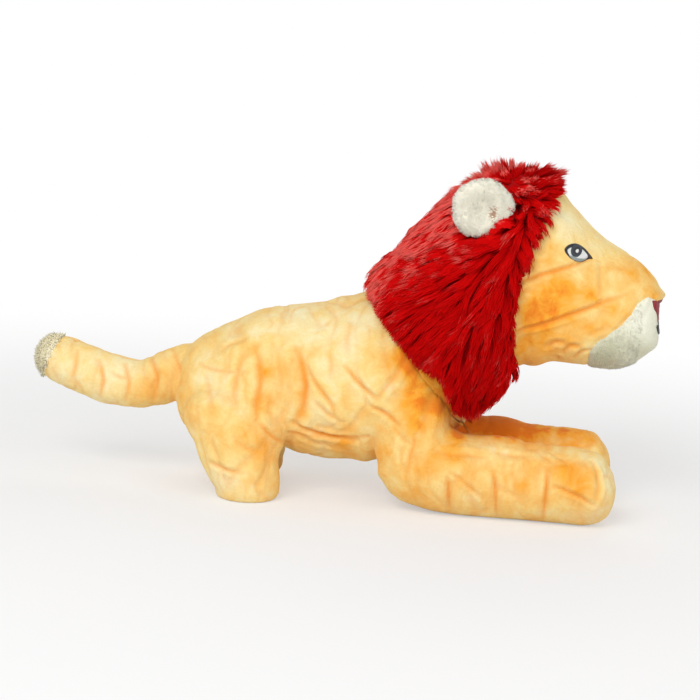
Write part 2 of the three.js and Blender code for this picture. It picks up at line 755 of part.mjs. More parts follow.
// The origin goes under the middle of the finished lion
const extent = new THREE.Box3().setFromObject(lion);
lion.position.set(-(extent.min.x + extent.max.x) / 2, 0, -extent.min.z);

export default lion;
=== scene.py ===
# A plush lion lying on a pale floor: short golden pile over soft filling, a long red mane of real strands,
# fuzzy round ears, a cream muzzle, and stitched eyes, nose and mouth. Lengths are in millimetres until a mesh
# is made, in the model's own frame: +X is the way the lion faces, +Y is its left, +Z is up.
import math

import bpy
import numpy as np
from mathutils import Matrix, Vector
from mathutils.bvhtree import BVHTree
from mathutils.kdtree import KDTree


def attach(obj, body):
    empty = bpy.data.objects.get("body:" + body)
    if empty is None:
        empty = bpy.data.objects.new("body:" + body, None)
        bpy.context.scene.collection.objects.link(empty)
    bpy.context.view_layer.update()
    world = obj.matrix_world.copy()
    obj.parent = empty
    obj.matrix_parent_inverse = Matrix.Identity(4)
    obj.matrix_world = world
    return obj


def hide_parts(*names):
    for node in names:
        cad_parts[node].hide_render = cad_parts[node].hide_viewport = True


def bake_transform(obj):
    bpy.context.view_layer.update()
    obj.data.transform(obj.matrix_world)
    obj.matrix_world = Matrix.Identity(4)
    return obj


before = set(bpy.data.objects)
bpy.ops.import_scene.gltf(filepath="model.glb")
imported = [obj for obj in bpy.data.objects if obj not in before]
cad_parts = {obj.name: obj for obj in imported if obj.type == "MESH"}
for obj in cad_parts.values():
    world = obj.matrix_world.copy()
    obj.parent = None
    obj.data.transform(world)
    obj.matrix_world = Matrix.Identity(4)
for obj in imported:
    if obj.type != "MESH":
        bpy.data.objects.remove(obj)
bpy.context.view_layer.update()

MM = 0.001
SEED = 20241


def at_full(full):
    """A setting for full quality."""
    return full


# Sizes of the toy, in millimetres and degrees unless a name says otherwise
MIDDLE_X = 4.26
TORSO = dict(length=151, radius=50, axis_height=71, rump_x=-107)
NECK_TILT = 38
HEAD = dict(length=146, radius=50)
MANE_RADIUS = 66
MANE_TUFTS = 12
MANE_TUFT_SHARE = 0.022
FRONT_LEG = dict(length=131, radius=24, spacing=64, height=24.5, x=37)
HIND_LEG = dict(height=62, radius=22, spacing=70, x=-55, stagger=9)
TAIL = dict(length=108, radius=16, root_height=70, embedding=18)
EAR = dict(radius=19.5, half_thickness=7, dish_radius=13, yaw=18, lean=8, embedding=4, angle=35, place=0.625)
FLOOR_HALF = 3000
FLOOR_DROP = 0.2

VOXEL = at_full(1.2)
HEAD_VOXEL = VOXEL * 0.87
FAR = 99

# Rows of a form: along, rise, tilt in degrees, and the half sizes up, down and to the side, and the pinch
TORSO_ROWS = [
    (0, -0.24, 0, 0, 0, 0, 0), (0.02, -0.24, 0, 0.34, 0.34, 0.36, 0),
    (0.06, -0.22, 0, 0.56, 0.56, 0.58, 0), (0.13, -0.2, 0, 0.7, 0.7, 0.72, 0),
    (0.235, -0.14, 0, 0.8, 0.8, 0.84, 0), (0.34, -0.06, 0, 0.87, 0.87, 0.88, 0),
    (0.46, 0, 0, 0.9, 0.92, 0.88, 0), (0.59, 0, 0, 0.96, 0.98, 0.9, 0), (0.7, 0.04, 8, 1, 1.02, 0.93, 0),
    (0.81, 0.1, 18, 1.01, 1.04, 0.96, 0), (0.91, 0.22, 28, 1.01, 1.02, 0.98, 0),
    (1, 0.36, 38, 1, 1, 0.98, 0),
]
HEAD_ROWS = [
    (0, 0, 38, 0.98, 0.98, 0.98, 0), (0.13, 0.34, 32, 1.04, 0.86, 0.97, 0),
    (0.26, 0.7, 20, 1.12, 0.8, 0.97, 0), (0.38, 0.98, 8, 1.16, 0.9, 0.94, 0.02),
    (0.5, 1.1, -4, 1.08, 1.04, 0.87, 0.08), (0.6, 1, -9, 0.85, 0.93, 0.79, 0.16),
    (0.7, 0.88, -8, 0.75, 0.83, 0.7, 0.22), (0.79, 0.81, -8, 0.69, 0.77, 0.63, 0.24),
    (0.87, 0.76, -10, 0.6, 0.71, 0.56, 0.22), (0.922, 0.74, -10, 0.48, 0.62, 0.48, 0.16),
    (0.955, 0.72, -8, 0.36, 0.47, 0.37, 0.1), (0.975, 0.7, -6, 0.21, 0.27, 0.22, 0),
    (0.982, 0.69, -6, 0, 0, 0, 0),
]
MANE_ROWS = [
    (0, 0, 38, 0.84, 0.82, 0.82, 0), (0.05, 0.12, 35, 0.9, 0.82, 0.92, 0),
    (0.11, 0.3, 30, 0.95, 0.8, 0.99, 0), (0.2, 0.56, 22, 1.04, 0.8, 1.02, 0),
    (0.31, 0.86, 10, 1.13, 0.87, 1, 0.04), (0.39, 1.04, -2, 1.11, 0.89, 0.9, 0.06),
    (0.445, 1.12, -9, 1, 0.84, 0.78, 0.06),
]
FRONT_LEG_ROWS = [
    (0.09, 2.6, -72, 0, 0, 0, 0), (0.085, 2.45, -72, 0.5, 0.62, 0.4, 0),
    (0.07, 2.05, -70, 0.74, 1, 0.72, 0), (0.06, 1.5, -64, 0.96, 1.14, 0.92, 0),
    (0.065, 0.95, -52, 1.08, 1.14, 1.02, 0), (0.1, 0.45, -36, 1.1, 1.28, 1.06, 0),
    (0.17, 0.15, -16, 1.08, 1.13, 1.06, 0), (0.28, 0.02, -5, 1.04, 1.06, 1.04, 0),
    (0.43, 0, 0, 1.04, 1.04, 1.02, 0), (0.6, 0, 0, 1, 1.04, 0.98, 0), (0.76, 0, 0, 1, 1.04, 1.02, 0),
    (0.87, 0, 0, 0.98, 1.04, 1.04, 0), (0.94, -0.04, 0, 0.8, 0.86, 0.9, 0),
    (0.985, -0.08, 0, 0.46, 0.5, 0.56, 0), (1, -0.08, 0, 0, 0, 0, 0),
]
HIND_LEG_ROWS = [
    (-0.55, 1.08, -90, 0, 0, 0, 0), (-0.55, 1.04, -90, 0.8, 0.8, 0.5, 0),
    (-0.52, 0.88, -90, 1.3, 1.3, 0.86, 0), (-0.46, 0.67, -90, 1.4, 1.36, 0.98, 0),
    (-0.3, 0.46, -90, 1.25, 1.24, 0.97, 0), (-0.12, 0.25, -90, 1.04, 1.1, 0.94, 0),
    (0, 0.1, -90, 0.93, 0.93, 0.9, 0), (0, 0.03, -90, 0.86, 0.86, 0.84, 0),
    (0, 0, -90, 0.8, 0.8, 0.78, 0),
]
TAIL_ROWS = [
    (0, 0.4, -22, 0, 0, 0, 0), (0.01, 0.38, -22, 0.4, 0.4, 0.4, 0),
    (0.045, 0.28, -22, 0.77, 0.76, 0.78, 0), (0.12, 0.08, -22, 0.95, 0.94, 0.95, 0),
    (0.26, -0.25, -18, 1, 1, 0.98, 0), (0.38, -0.52, -10, 0.99, 0.99, 0.98, 0),
    (0.5, -0.66, -2, 0.96, 0.96, 0.96, 0), (0.61, -0.7, 5, 0.93, 0.94, 0.94, 0),
    (0.72, -0.5, 14, 0.95, 0.96, 0.96, 0), (0.83, -0.2, 18, 1.01, 1.01, 1, 0),
    (0.93, 0, 16, 1.05, 1.04, 1.02, 0), (0.97, 0.03, 14, 0.8, 0.8, 0.8, 0), (1, 0.05, 14, 0, 0, 0, 0),
]
NECK_X = TORSO["rump_x"] + TORSO["length"] + MIDDLE_X
NECK_Z = TORSO["axis_height"] + TORSO_ROWS[-1][1] * TORSO["radius"]
NECK = np.array([NECK_X, 0.0, NECK_Z])
NECK_NORMAL = np.array([math.cos(math.radians(NECK_TILT)), 0.0, math.sin(math.radians(NECK_TILT))])

# The camera stands at the photograph's viewing angle
PIXEL_MM = 0.622
PICTURE_WIDTH = 700
SENSOR_MM = 36
MIDDLE_PIXEL = (350.5, 350.0)
CAMERA = dict(azimuth=5, elevation=8.5, roll=3.6, distance=1100, target=(MIDDLE_X, 0, 90))


def camera_axes():
    a, e, r = (math.radians(CAMERA[key]) for key in ("azimuth", "elevation", "roll"))
    back = np.array([math.sin(a) * math.cos(e), -math.cos(a) * math.cos(e), math.sin(e)])
    level = np.array([math.cos(a), math.sin(a), 0.0])
    high = np.cross(back, level)
    right = level * math.cos(r) + high * math.sin(r)
    up = high * math.cos(r) - level * math.sin(r)
    return right, up, back


RIGHT, UP, BACK = camera_axes()
EYE = np.array(CAMERA["target"]) + BACK * CAMERA["distance"]


def seen_at(tree, pixel):
    """Where the camera sees a skin at a pixel of the photograph, or None."""
    x = (pixel[0] - MIDDLE_PIXEL[0]) * PIXEL_MM
    y = (MIDDLE_PIXEL[1] - pixel[1]) * PIXEL_MM
    way = RIGHT * x + UP * y - BACK * CAMERA["distance"]
    return tree.ray_cast(Vector(EYE), Vector(way / np.linalg.norm(way)))[0]


def near_side_pixels(points):
    """Where points lie in the photograph's frame, those of the far side mirrored to the near one."""
    turned = points.copy()
    turned[:, 1] = -np.abs(turned[:, 1])
    away = turned - EYE
    depth = -(away @ BACK)
    scale = CAMERA["distance"] / depth / PIXEL_MM
    return np.stack([MIDDLE_PIXEL[0] + (away @ RIGHT) * scale, MIDDLE_PIXEL[1] - (away @ UP) * scale], 1)


def past_line(points, line):
    """Signed distance in pixels of points from a pixel line, above zero on the right going along it."""
    pixels = near_side_pixels(points.reshape(-1, 3))
    best = np.full(len(pixels), 1e9)
    sign = np.zeros(len(pixels))
    for (x0, y0), (x1, y1) in zip(line[:-1], line[1:]):
        way = np.array([x1 - x0, y1 - y0])
        length = np.linalg.norm(way)
        share = np.clip(((pixels - (x0, y0)) @ way) / length**2, 0, 1)
        foot = np.array([x0, y0]) + share[:, None] * way
        off = pixels - foot
        away = np.linalg.norm(off, axis=1)
        closer = away < best
        best = np.where(closer, away, best)
        sign = np.where(closer, np.sign(way[0] * off[:, 1] - way[1] * off[:, 0]), sign)
    return (best * sign).reshape(points.shape[:-1])


def spline(rows, t):
    """Uniform Catmull-Rom through rows, at shares t of the way, with extended ends."""
    rows = np.asarray(rows, float)
    last = len(rows) - 1
    place = np.clip(np.asarray(t, float), 0, 1) * last
    index = np.minimum(place.astype(int), last - 1)
    w = (place - index)[:, None]
    padded = np.vstack([2 * rows[0] - rows[1], rows, 2 * rows[-1] - rows[-2]])
    p0, p1, p2, p3 = (padded[index + k] for k in range(4))
    t0, t1 = 0.5 * (p2 - p0), 0.5 * (p3 - p1)
    return p1 + t0 * w + (-3 * p1 + 3 * p2 - 2 * t0 - t1) * w**2 + (2 * p1 - 2 * p2 + t0 + t1) * w**3


def closed_grid(grid, poles):
    """Points, quads and tris of the skin through rings of points, closed with a fan at each end."""
    rings, sides = grid.shape[:2]
    index = np.arange(rings * sides).reshape(rings, sides)
    a, b = index[:-1], index[1:]
    quads = np.stack([a, b, np.roll(b, -1, 1), np.roll(a, -1, 1)], -1).reshape(-1, 4)
    start = np.stack([np.full(sides, rings * sides), index[0], np.roll(index[0], -1)], -1)
    end = np.stack([np.full(sides, rings * sides + 1), np.roll(index[-1], -1), index[-1]], -1)
    return np.vstack([grid.reshape(-1, 3), poles]), quads, np.vstack([start, end])


class Form:
    """A stuffed form: a closed skin lofted through its rows."""

    def __init__(self, rows, place, radius, y=0.0, tuft=None):
        rows = np.asarray(rows, float)
        self.middles = np.array([place(row[0], row[1]) for row in rows])
        self.girths = rows[:, 3:6]
        self.leans = rows[:, [2, 6]]
        self.radius, self.y, self.tuft = radius, y, tuft

    def surface(self, u, angle):
        u, angle = np.broadcast_arrays(np.asarray(u, float), np.asarray(angle, float))
        shape = u.shape
        u, angle = u.ravel(), angle.ravel()
        middle = spline(self.middles, u)
        girth = np.maximum(0, spline(self.girths, u))
        lean = spline(self.leans, u)
        rise = np.sin(angle)
        ripple = self.tuft(u, angle) if self.tuft else 1.0
        high = self.radius * ripple * rise * np.where(rise > 0, girth[:, 0], girth[:, 1])
        wide = self.radius * ripple * np.cos(angle) * girth[:, 2] * (1 - lean[:, 1] * rise)
        tilt = np.radians(lean[:, 0])
        x = middle[:, 0] - np.sin(tilt) * high
        z = middle[:, 1] + np.cos(tilt) * high
        return np.stack([x, self.y + wide, z], 1).reshape(*shape, 3)

    def mesh(self, rings, sides):
        angle = np.arange(sides) * 2 * np.pi / sides
        grid = self.surface(np.linspace(0, 1, rings + 1)[:, None], angle[None, :])
        return closed_grid(grid, [grid[0].mean(0), grid[-1].mean(0)])


def side_of(hand):
    return 1 if hand == "left" else -1


def torso_place(a, r):
    return TORSO["rump_x"] + a * TORSO["length"] + MIDDLE_X, TORSO["axis_height"] + r * TORSO["radius"]


def head_place(a, r):
    return NECK_X + a * HEAD["length"], NECK_Z + r * HEAD["radius"]


def front_leg_place(a, r):
    return FRONT_LEG["x"] + a * FRONT_LEG["length"] + MIDDLE_X, FRONT_LEG["height"] + r * FRONT_LEG["radius"]


def tail_place(a, r):
    x = TORSO["rump_x"] + TAIL["embedding"] + (a - 1) * TAIL["length"] + MIDDLE_X
    return x, TAIL["root_height"] + r * TAIL["radius"]


def hind_leg_form(hand):
    stagger = HIND_LEG["stagger"] if hand == "left" else 0

    def place(a, r):
        return HIND_LEG["x"] + a * HIND_LEG["radius"] - stagger * (1 - r) + MIDDLE_X, r * HIND_LEG["height"]

    return Form(HIND_LEG_ROWS, place, HIND_LEG["radius"], y=side_of(hand) * HIND_LEG["spacing"] / 2)


def mane_ripple(u, angle):
    return 1 + MANE_TUFT_SHARE * np.sin(MANE_TUFTS * (angle + u * np.pi))


def build_forms():
    made = {
        "torso": Form(TORSO_ROWS, torso_place, TORSO["radius"]),
        "head": Form(HEAD_ROWS, head_place, HEAD["radius"]),
        "mane": Form(MANE_ROWS, head_place, MANE_RADIUS, tuft=mane_ripple),
        "tail": Form(TAIL_ROWS, tail_place, TAIL["radius"]),
    }
    for hand in ("left", "right"):
        y = side_of(hand) * FRONT_LEG["spacing"] / 2
        made[f"front_leg_{hand}"] = Form(FRONT_LEG_ROWS, front_leg_place, FRONT_LEG["radius"], y=y)
        made[f"hind_leg_{hand}"] = hind_leg_form(hand)
    return made


NO_TRIS = np.zeros((0, 3), int)


# Mesh helpers
def new_object(name, points, quads, tris=NO_TRIS, material=None, **attributes):
    """A smooth mesh in the scene from points in millimetres. Attributes have a value at each point."""
    quads, tris = np.asarray(quads, int), np.asarray(tris, int)
    mesh = bpy.data.meshes.new(name)
    mesh.vertices.add(len(points))
    mesh.vertices.foreach_set("co", (np.asarray(points) * MM).astype(np.float32).ravel())
    loops = np.concatenate([quads.ravel(), tris.ravel()]).astype(np.int32)
    mesh.loops.add(len(loops))
    mesh.loops.foreach_set("vertex_index", loops)
    starts = np.concatenate([np.arange(len(quads)) * 4, 4 * len(quads) + np.arange(len(tris)) * 3])
    mesh.polygons.add(len(starts))
    mesh.polygons.foreach_set("loop_start", starts.astype(np.int32))
    mesh.polygons.foreach_set("use_smooth", np.full(len(starts), True))
    mesh.update(calc_edges=True)
    for key, values in attributes.items():
        mesh.attributes.new(key, "FLOAT", "POINT").data.foreach_set("value", np.asarray(values, np.float32))
    made = bpy.data.objects.new(name, mesh)
    bpy.context.scene.collection.objects.link(made)
    if material:
        mesh.materials.append(material)
    return made


def remeshed(parts, voxel, smooth_rounds=2):
    """One closed skin round overlapping closed meshes, as points and quads."""
    offsets = np.cumsum([0] + [len(points) for points, _, _ in parts])
    points = np.vstack([points for points, _, _ in parts])
    quads = np.vstack([quads + offset for (_, quads, _), offset in zip(parts, offsets)])
    tris = np.vstack([tris + offset for (_, _, tris), offset in zip(parts, offsets)])
    made = new_object("scratch_skin", points, quads, tris)
    modifier = made.modifiers.new("skin", "REMESH")
    modifier.mode = "VOXEL"
    modifier.voxel_size = voxel * MM
    modifier.adaptivity = 0
    evaluated = made.evaluated_get(bpy.context.evaluated_depsgraph_get())
    mesh = evaluated.to_mesh()
    skin = np.empty(len(mesh.vertices) * 3, np.float32)
    mesh.vertices.foreach_get("co", skin)
    corners = np.empty(len(mesh.loops), np.int32)
    mesh.loops.foreach_get("vertex_index", corners)
    evaluated.to_mesh_clear()
    data = made.data
    bpy.data.objects.remove(made)
    bpy.data.meshes.remove(data)
    faces = corners.reshape(-1, 4)
    return relaxed(skin.reshape(-1, 3).astype(float) / MM, faces, smooth_rounds), faces


def relaxed(points, faces, rounds, amount=0.5, share=None):
    """Each point moves towards the mean of its neighbours, by amount and its share, and mostly back."""
    count = faces.shape[1]
    pairs = np.vstack([faces[:, [k, (k + 1) % count]] for k in range(count)])
    edges = np.unique(np.sort(pairs, 1), axis=0)
    degree = np.bincount(edges.ravel(), minlength=len(points))[:, None]
    points = points.copy()
    for step in range(rounds * 2):
        total = np.zeros_like(points)
        np.add.at(total, edges[:, 0], points[edges[:, 1]])
        np.add.at(total, edges[:, 1], points[edges[:, 0]])
        shift = (total / np.maximum(degree, 1) - points) * (amount if step % 2 == 0 else -amount * 0.9)
        points += shift if share is None else shift * share[:, None]
    return points


def normals_of(points, faces):
    """The normal at each point, from the quads round it."""
    p = points[faces]
    face = np.cross(p[:, 2] - p[:, 0], p[:, 3] - p[:, 1])
    total = np.zeros_like(points)
    for k in range(4):
        np.add.at(total, faces[:, k], face)
    return total / (np.linalg.norm(total, axis=1, keepdims=True) + 1e-12)


def tree_of(points, *faces):
    corners = [face for group in faces for face in group.tolist()]
    return BVHTree.FromPolygons([Vector(point) for point in points], corners)


def tree_of_form(form, rings=90, sides=60, longer=0.0):
    """A form's skin for measuring distances. Its first end may go on by longer, against the neck's normal."""
    points, quads, tris = form.mesh(rings, sides)
    if longer:
        points[:sides] -= NECK_NORMAL * longer
        points[-2] -= NECK_NORMAL * longer
    return tree_of(points, quads, tris)


def signed_distances(tree, points):
    """Distance of each point from a closed skin, below zero inside it, and the way out."""
    distance = np.empty(len(points))
    way = np.empty((len(points), 3))
    for k, point in enumerate(points):
        here = Vector(point)
        near, normal, _, _ = tree.find_nearest(here)
        off = here - near
        sign = 1.0 if off.dot(normal) >= 0 else -1.0
        distance[k] = off.length * sign
        way[k] = normal
    return distance, way


def normalised(v):
    return v / (np.linalg.norm(v, axis=-1, keepdims=True) + 1e-9)


NOISE_CELLS = 32
NOISE_OFFSET = np.array([13.7, 7.3, 3.1])
NOISE_SLOPES = np.random.default_rng(SEED + 7).normal(size=(NOISE_CELLS, NOISE_CELLS, NOISE_CELLS, 3))
NOISE_SLOPES /= np.linalg.norm(NOISE_SLOPES, axis=-1, keepdims=True)


def soft_noise(points, size, seed):
    """Smooth noise with hills about size across, from about -0.8 to 0.8."""
    place = np.asarray(points, float) / size + NOISE_OFFSET * seed
    cell = np.floor(place).astype(int)
    inside = place - cell
    ease = inside**3 * (inside * (inside * 6 - 15) + 10)
    total = np.zeros(len(place))
    for corner in np.ndindex(2, 2, 2):
        x, y, z = ((cell + corner) % NOISE_CELLS).T
        weight = np.prod(np.where(np.array(corner) == 1, ease, 1 - ease), axis=1)
        total += weight * np.sum(NOISE_SLOPES[x, y, z] * (inside - corner), axis=1)
    return total * 1.25


def layered_noise(points, *layers):
    """Noise layers, each (amount, size, seed), one over another."""
    return sum(amount * soft_noise(points, size, seed) for amount, size, seed in layers)


def taken(points, faces, chosen, *fields):
    """The chosen faces alone, with the points that they use, and the fields of those points."""
    faces = faces[chosen]
    used, inverse = np.unique(faces, return_inverse=True)
    return points[used], inverse.reshape(faces.shape), [field[used] for field in fields]


def oriented(points, quads, tris, centre):
    """Faces that point away from centre."""
    p = points[quads]
    outward = np.cross(p[:, 2] - p[:, 0], p[:, 3] - p[:, 1])
    if np.mean(np.sum(outward * (p.mean(1) - centre), 1) > 0) < 0.5:
        return quads[:, ::-1], tris[:, ::-1]
    return quads, tris


# Folds in the cloth: (pixels of the photograph, depth, half width, bulge beside it). A fold lies on the side
# that the photograph shows, and its mirror image lies on the other side.
BODY_LINES = [
    ([(255, 345), (259, 360), (261, 380), (258, 405), (257, 430)], 1.3, 2.2, 0.7),
    ([(297, 348), (303, 366), (306, 387), (303, 410), (294, 424)], 2.0, 3.0, 1.0),
    ([(244, 352), (238, 372), (234, 392), (238, 412)], 0.9, 2.6, 0.5),
    ([(276, 348), (280, 366), (282, 388), (278, 408)], 0.7, 3.0, 0.5),
    ([(308, 367), (314, 380), (324, 394), (333, 406), (335, 418)], 1.3, 1.6, 0.6),
    ([(316, 402), (328, 414), (343, 424)], 0.9, 1.6, 0.4),
    ([(346, 366), (354, 377), (364, 388), (380, 401)], 1.4, 1.6, 0.6),
    ([(330, 352), (332, 366), (330, 380)], 0.7, 2.4, 0.4),
    ([(372, 406), (382, 411), (392, 418), (402, 428)], 1.4, 1.6, 0.6),
    ([(293, 422), (304, 429), (316, 434), (331, 438), (345, 440), (358, 441)], 1.7, 1.7, 0.7),
    ([(300, 436), (318, 444), (340, 449)], 0.8, 1.8, 0.4),
    ([(258, 422), (268, 432), (279, 440), (290, 444)], 1.4, 1.7, 0.6),
    ([(200, 364), (214, 370), (230, 372), (247, 373)], 0.8, 1.7, 0.4),
    ([(222, 350), (232, 344), (246, 338)], 0.7, 2.0, 0.3),
    ([(352, 322), (347, 340), (349, 356)], 0.6, 2.6, 0.3),
    ([(411, 355), (401, 369), (390, 384), (377, 400)], 1.0, 1.8, 1.1),
    ([(438, 384), (430, 404), (424, 424), (420, 444)], 1.1, 2.8, 0.9),
    ([(417, 436), (412, 452), (407, 474)], 1.2, 1.7, 0.6),
    ([(394, 426), (402, 438), (414, 446)], 0.8, 1.8, 0.4),
    ([(210, 462), (222, 468), (233, 472), (244, 473)], 1.2, 1.6, 0.5),
    ([(236, 440), (246, 448), (260, 452)], 0.8, 1.9, 0.4),
    ([(206, 376), (211, 396), (210, 414)], 0.6, 2.6, 0.4),
    ([(448, 478), (449, 492), (449, 503), (449, 512)], 1.6, 1.5, 0.7),
    ([(450, 472), (460, 479), (468, 486), (482, 499)], 1.1, 1.3, 0.5),
    ([(494, 472), (496, 490), (496, 504), (497, 518)], 1.6, 1.6, 0.7),
    ([(547, 466), (547, 486), (545, 503), (543, 524)], 1.6, 1.6, 0.7),
    ([(554, 486), (567, 491), (579, 497), (594, 506)], 1.7, 1.3, 0.7),
    ([(594, 460), (599, 474), (600, 490), (595, 505)], 0.9, 1.8, 0.9),
    ([(512, 470), (516, 483), (514, 496)], 0.6, 2.0, 0.3),
    ([(436, 452), (452, 456), (470, 455), (488, 458)], 0.9, 2.2, 0.5),
    ([(496, 452), (512, 456), (530, 456)], 0.7, 2.0, 0.4),
    ([(540, 452), (548, 460), (558, 465)], 0.7, 1.7, 0.4),
    ([(100, 360), (104, 380), (100, 398)], 1.2, 1.8, 0.6),
    ([(126, 364), (130, 384), (126, 402)], 1.1, 1.8, 0.6),
    ([(152, 358), (158, 378), (155, 398)], 1.4, 2.0, 0.7),
    ([(174, 350), (181, 370), (178, 390)], 1.1, 2.0, 0.6),
    ([(78, 350), (76, 368), (71, 382)], 1.0, 1.7, 0.5),
    ([(112, 372), (122, 378), (134, 378)], 0.7, 1.6, 0.3),
]
FACE_LINES = [
    ([(516, 284), (530, 279), (545, 274), (561, 270), (578, 264), (592, 258)], 1.7, 1.5, 0.8),
    ([(514, 294), (526, 291), (536, 292)], 0.8, 1.4, 0.3),
    ([(509, 335), (524, 330), (540, 326), (555, 321), (577, 313), (596, 306), (607, 301),
      (627, 295)], 2.0, 1.5, 0.9),
    ([(601, 262), (601, 282), (602, 303)], 0.7, 1.7, 0.3),
    ([(548, 346), (556, 341), (566, 343)], 1.3, 1.7, 0.6),
    ([(563, 352), (570, 345), (580, 347)], 1.3, 1.7, 0.6),
    ([(574, 358), (582, 351), (591, 350)], 1.1, 1.6, 0.5), ([(556, 355), (561, 361)], 0.9, 1.6, 0.4),
    ([(590, 334), (600, 330), (610, 330)], 0.6, 1.8, 0.3),
    ([(580, 330), (590, 326), (600, 320)], 0.5, 2.0, 0.2),
]
# Painted shade on the pile: (pixel, radius in pixels, amount). Below zero the spot is painted light, paler.
SHADE_AND_LIGHT_SPOTS = [
    ((262, 402), 13, 0.9), ((264, 372), 9, 0.6), ((250, 345), 9, 0.45), ((432, 398), 24, 1.1),
    ((442, 372), 14, 0.7), ((400, 368), 12, 0.45), ((418, 425), 12, 0.8), ((455, 440), 10, 0.9),
    ((300, 446), 16, 0.7), ((345, 446), 16, 0.7), ((380, 452), 12, 0.5), ((244, 436), 12, 0.7),
    ((262, 445), 10, 0.7), ((430, 462), 17, 0.45), ((524, 486), 9, 0.6), ((476, 468), 18, 0.3),
    ((578, 480), 20, 0.7), ((562, 465), 12, 0.3), ((533, 470), 8, 0.2), ((590, 495), 10, 0.3),
    ((462, 428), 8, 1.2), ((480, 431), 8, 1.1), ((498, 434), 8, 1.0), ((515, 437), 8, 1.0),
    ((532, 440), 8, 0.9), ((549, 441), 7, 0.7), ((566, 446), 6, 0.5), ((250, 470), 12, 0.35),
    ((345, 405), 10, 0.25), ((90, 380), 10, 0.2), ((150, 392), 12, 0.4), ((186, 392), 12, 0.45),
    ((205, 352), 12, -0.3), ((300, 325), 30, -0.6), ((370, 320), 22, -0.55), ((345, 345), 16, -0.35),
    ((235, 335), 16, -0.35), ((390, 345), 14, -0.3), ((120, 372), 14, -0.3), ((275, 385), 9, -0.3),
    ((322, 365), 14, -0.3), ((205, 450), 12, -0.3), ((395, 480), 9, -0.2), ((215, 385), 20, -0.45),
    ((110, 372), 26, -0.35), ((60, 350), 16, -0.35), ((225, 480), 18, -0.45), ((300, 395), 7, 0.8),
    ((304, 412), 7, 0.6), ((435, 400), 16, 0.8), ((415, 388), 13, 0.7), ((455, 455), 12, 0.4),
    ((240, 440), 14, -0.2), ((330, 395), 12, -0.2), ((470, 442), 4, -0.2), ((482, 445), 4, -0.2),
    ((494, 450), 4, -0.3), ((506, 453), 4, -0.4), ((518, 454), 4, -0.3), ((530, 455), 4, -0.2),
    ((542, 453), 4, -0.2), ((556, 450), 4, -0.3), ((570, 452), 4, -0.5), ((584, 457), 5, -0.6),
    ((597, 463), 6, -0.8), ((606, 473), 6, -0.8), ((402, 352), 12, 0.9), ((412, 370), 11, 0.9),
    ((405, 402), 12, 0.6), ((385, 360), 12, 0.35), ((400, 420), 12, 0.5), ((375, 340), 9, 0.3),
    ((500, 470), 12, 0.4), ((530, 460), 12, 0.35), ((608, 485), 6, -0.5), ((470, 502), 12, -0.25),
    ((520, 508), 12, -0.25), ((560, 512), 10, -0.2), ((440, 490), 9, -0.3), ((400, 372), 5, -0.5),
    ((390, 388), 5, -0.5), ((424, 418), 4, -0.5), ((420, 434), 4, -0.5),
]
# Painted shade and painted light on the face, in the same columns.
FACE_SHADE_AND_LIGHT_SPOTS = [
    ((545, 303), 24, 0.6), ((575, 298), 20, 0.4), ((528, 318), 18, 0.5), ((560, 283), 11, 0.3),
    ((522, 352), 18, 1.0), ((548, 352), 16, 0.8), ((570, 335), 18, 0.35), ((615, 315), 14, 0.45),
    ((600, 325), 11, 0.3), ((592, 297), 9, 0.4), ((530, 262), 10, 0.4), ((640, 265), 14, 0.4),
    ((612, 275), 8, -0.3), ((575, 222), 16, -0.45), ((600, 240), 14, -0.45), ((560, 240), 9, -0.1),
    ((628, 252), 12, -0.35), ((580, 275), 6, -0.35), ((590, 345), 7, -0.4), ((640, 288), 8, -0.3),
    ((612, 292), 6, -0.3), ((656, 297), 6, 0.7), ((535, 330), 16, 0.3), ((520, 300), 15, 0.2),
    ((640, 275), 14, 0.3), ((556, 215), 10, -0.2), ((434, 384), 26, 1.6), ((448, 404), 14, 1.0),
    ((410, 350), 14, 0.5), ((560, 320), 26, 0.6), ((590, 331), 16, 0.55), ((535, 318), 18, 0.3),
    ((550, 252), 9, 0.5), ((650, 290), 9, 0.5), ((590, 290), 12, 0.35), ((572, 345), 10, 0.4),
    ((590, 270), 7, 0.3),
]
# Painted shade on the muzzle, where it looks greyer; below zero, painted light.
MUZZLE_SHADE_AND_LIGHT_SPOTS = [
    ((612, 345), 20, 0.6), ((640, 350), 16, 0.5), ((640, 318), 12, -0.4), ((600, 360), 16, 0.8),
]
# Where the outline differs a little from the plain form: (pixel, radius in pixels, millimetres outwards)
BODY_SWELLS = [
    ((366, 456), 12, 2.5), ((379, 474), 8, 1.6), ((165, 352), 22, 1.6), ((105, 402), 12, 1.0),
    ((196, 440), 26, -1.5), ((282, 460), 12, -2.0), ((530, 441), 14, -1.6), ((560, 443), 16, -2.4),
    ((588, 448), 15, -3.2), ((606, 466), 12, -1.6), ((38, 370), 14, -1.4), ((60, 335), 12, -1.0),
    ((90, 343), 14, -0.8), ((255, 322), 16, 0.8), ((300, 300), 14, -0.6),
]
FACE_SWELLS = [
    ((518, 358), 14, 4.0), ((538, 359), 11, 2.6), ((568, 206), 13, -2.0), ((648, 268), 13, -1.0),
    ((653, 344), 11, 1.8),
]
MANE_SWELLS = [
    ((458, 182), 14, 4.4), ((474, 172), 11, 4.4), ((396, 240), 22, -3.6), ((366, 284), 10, -2.5),
]
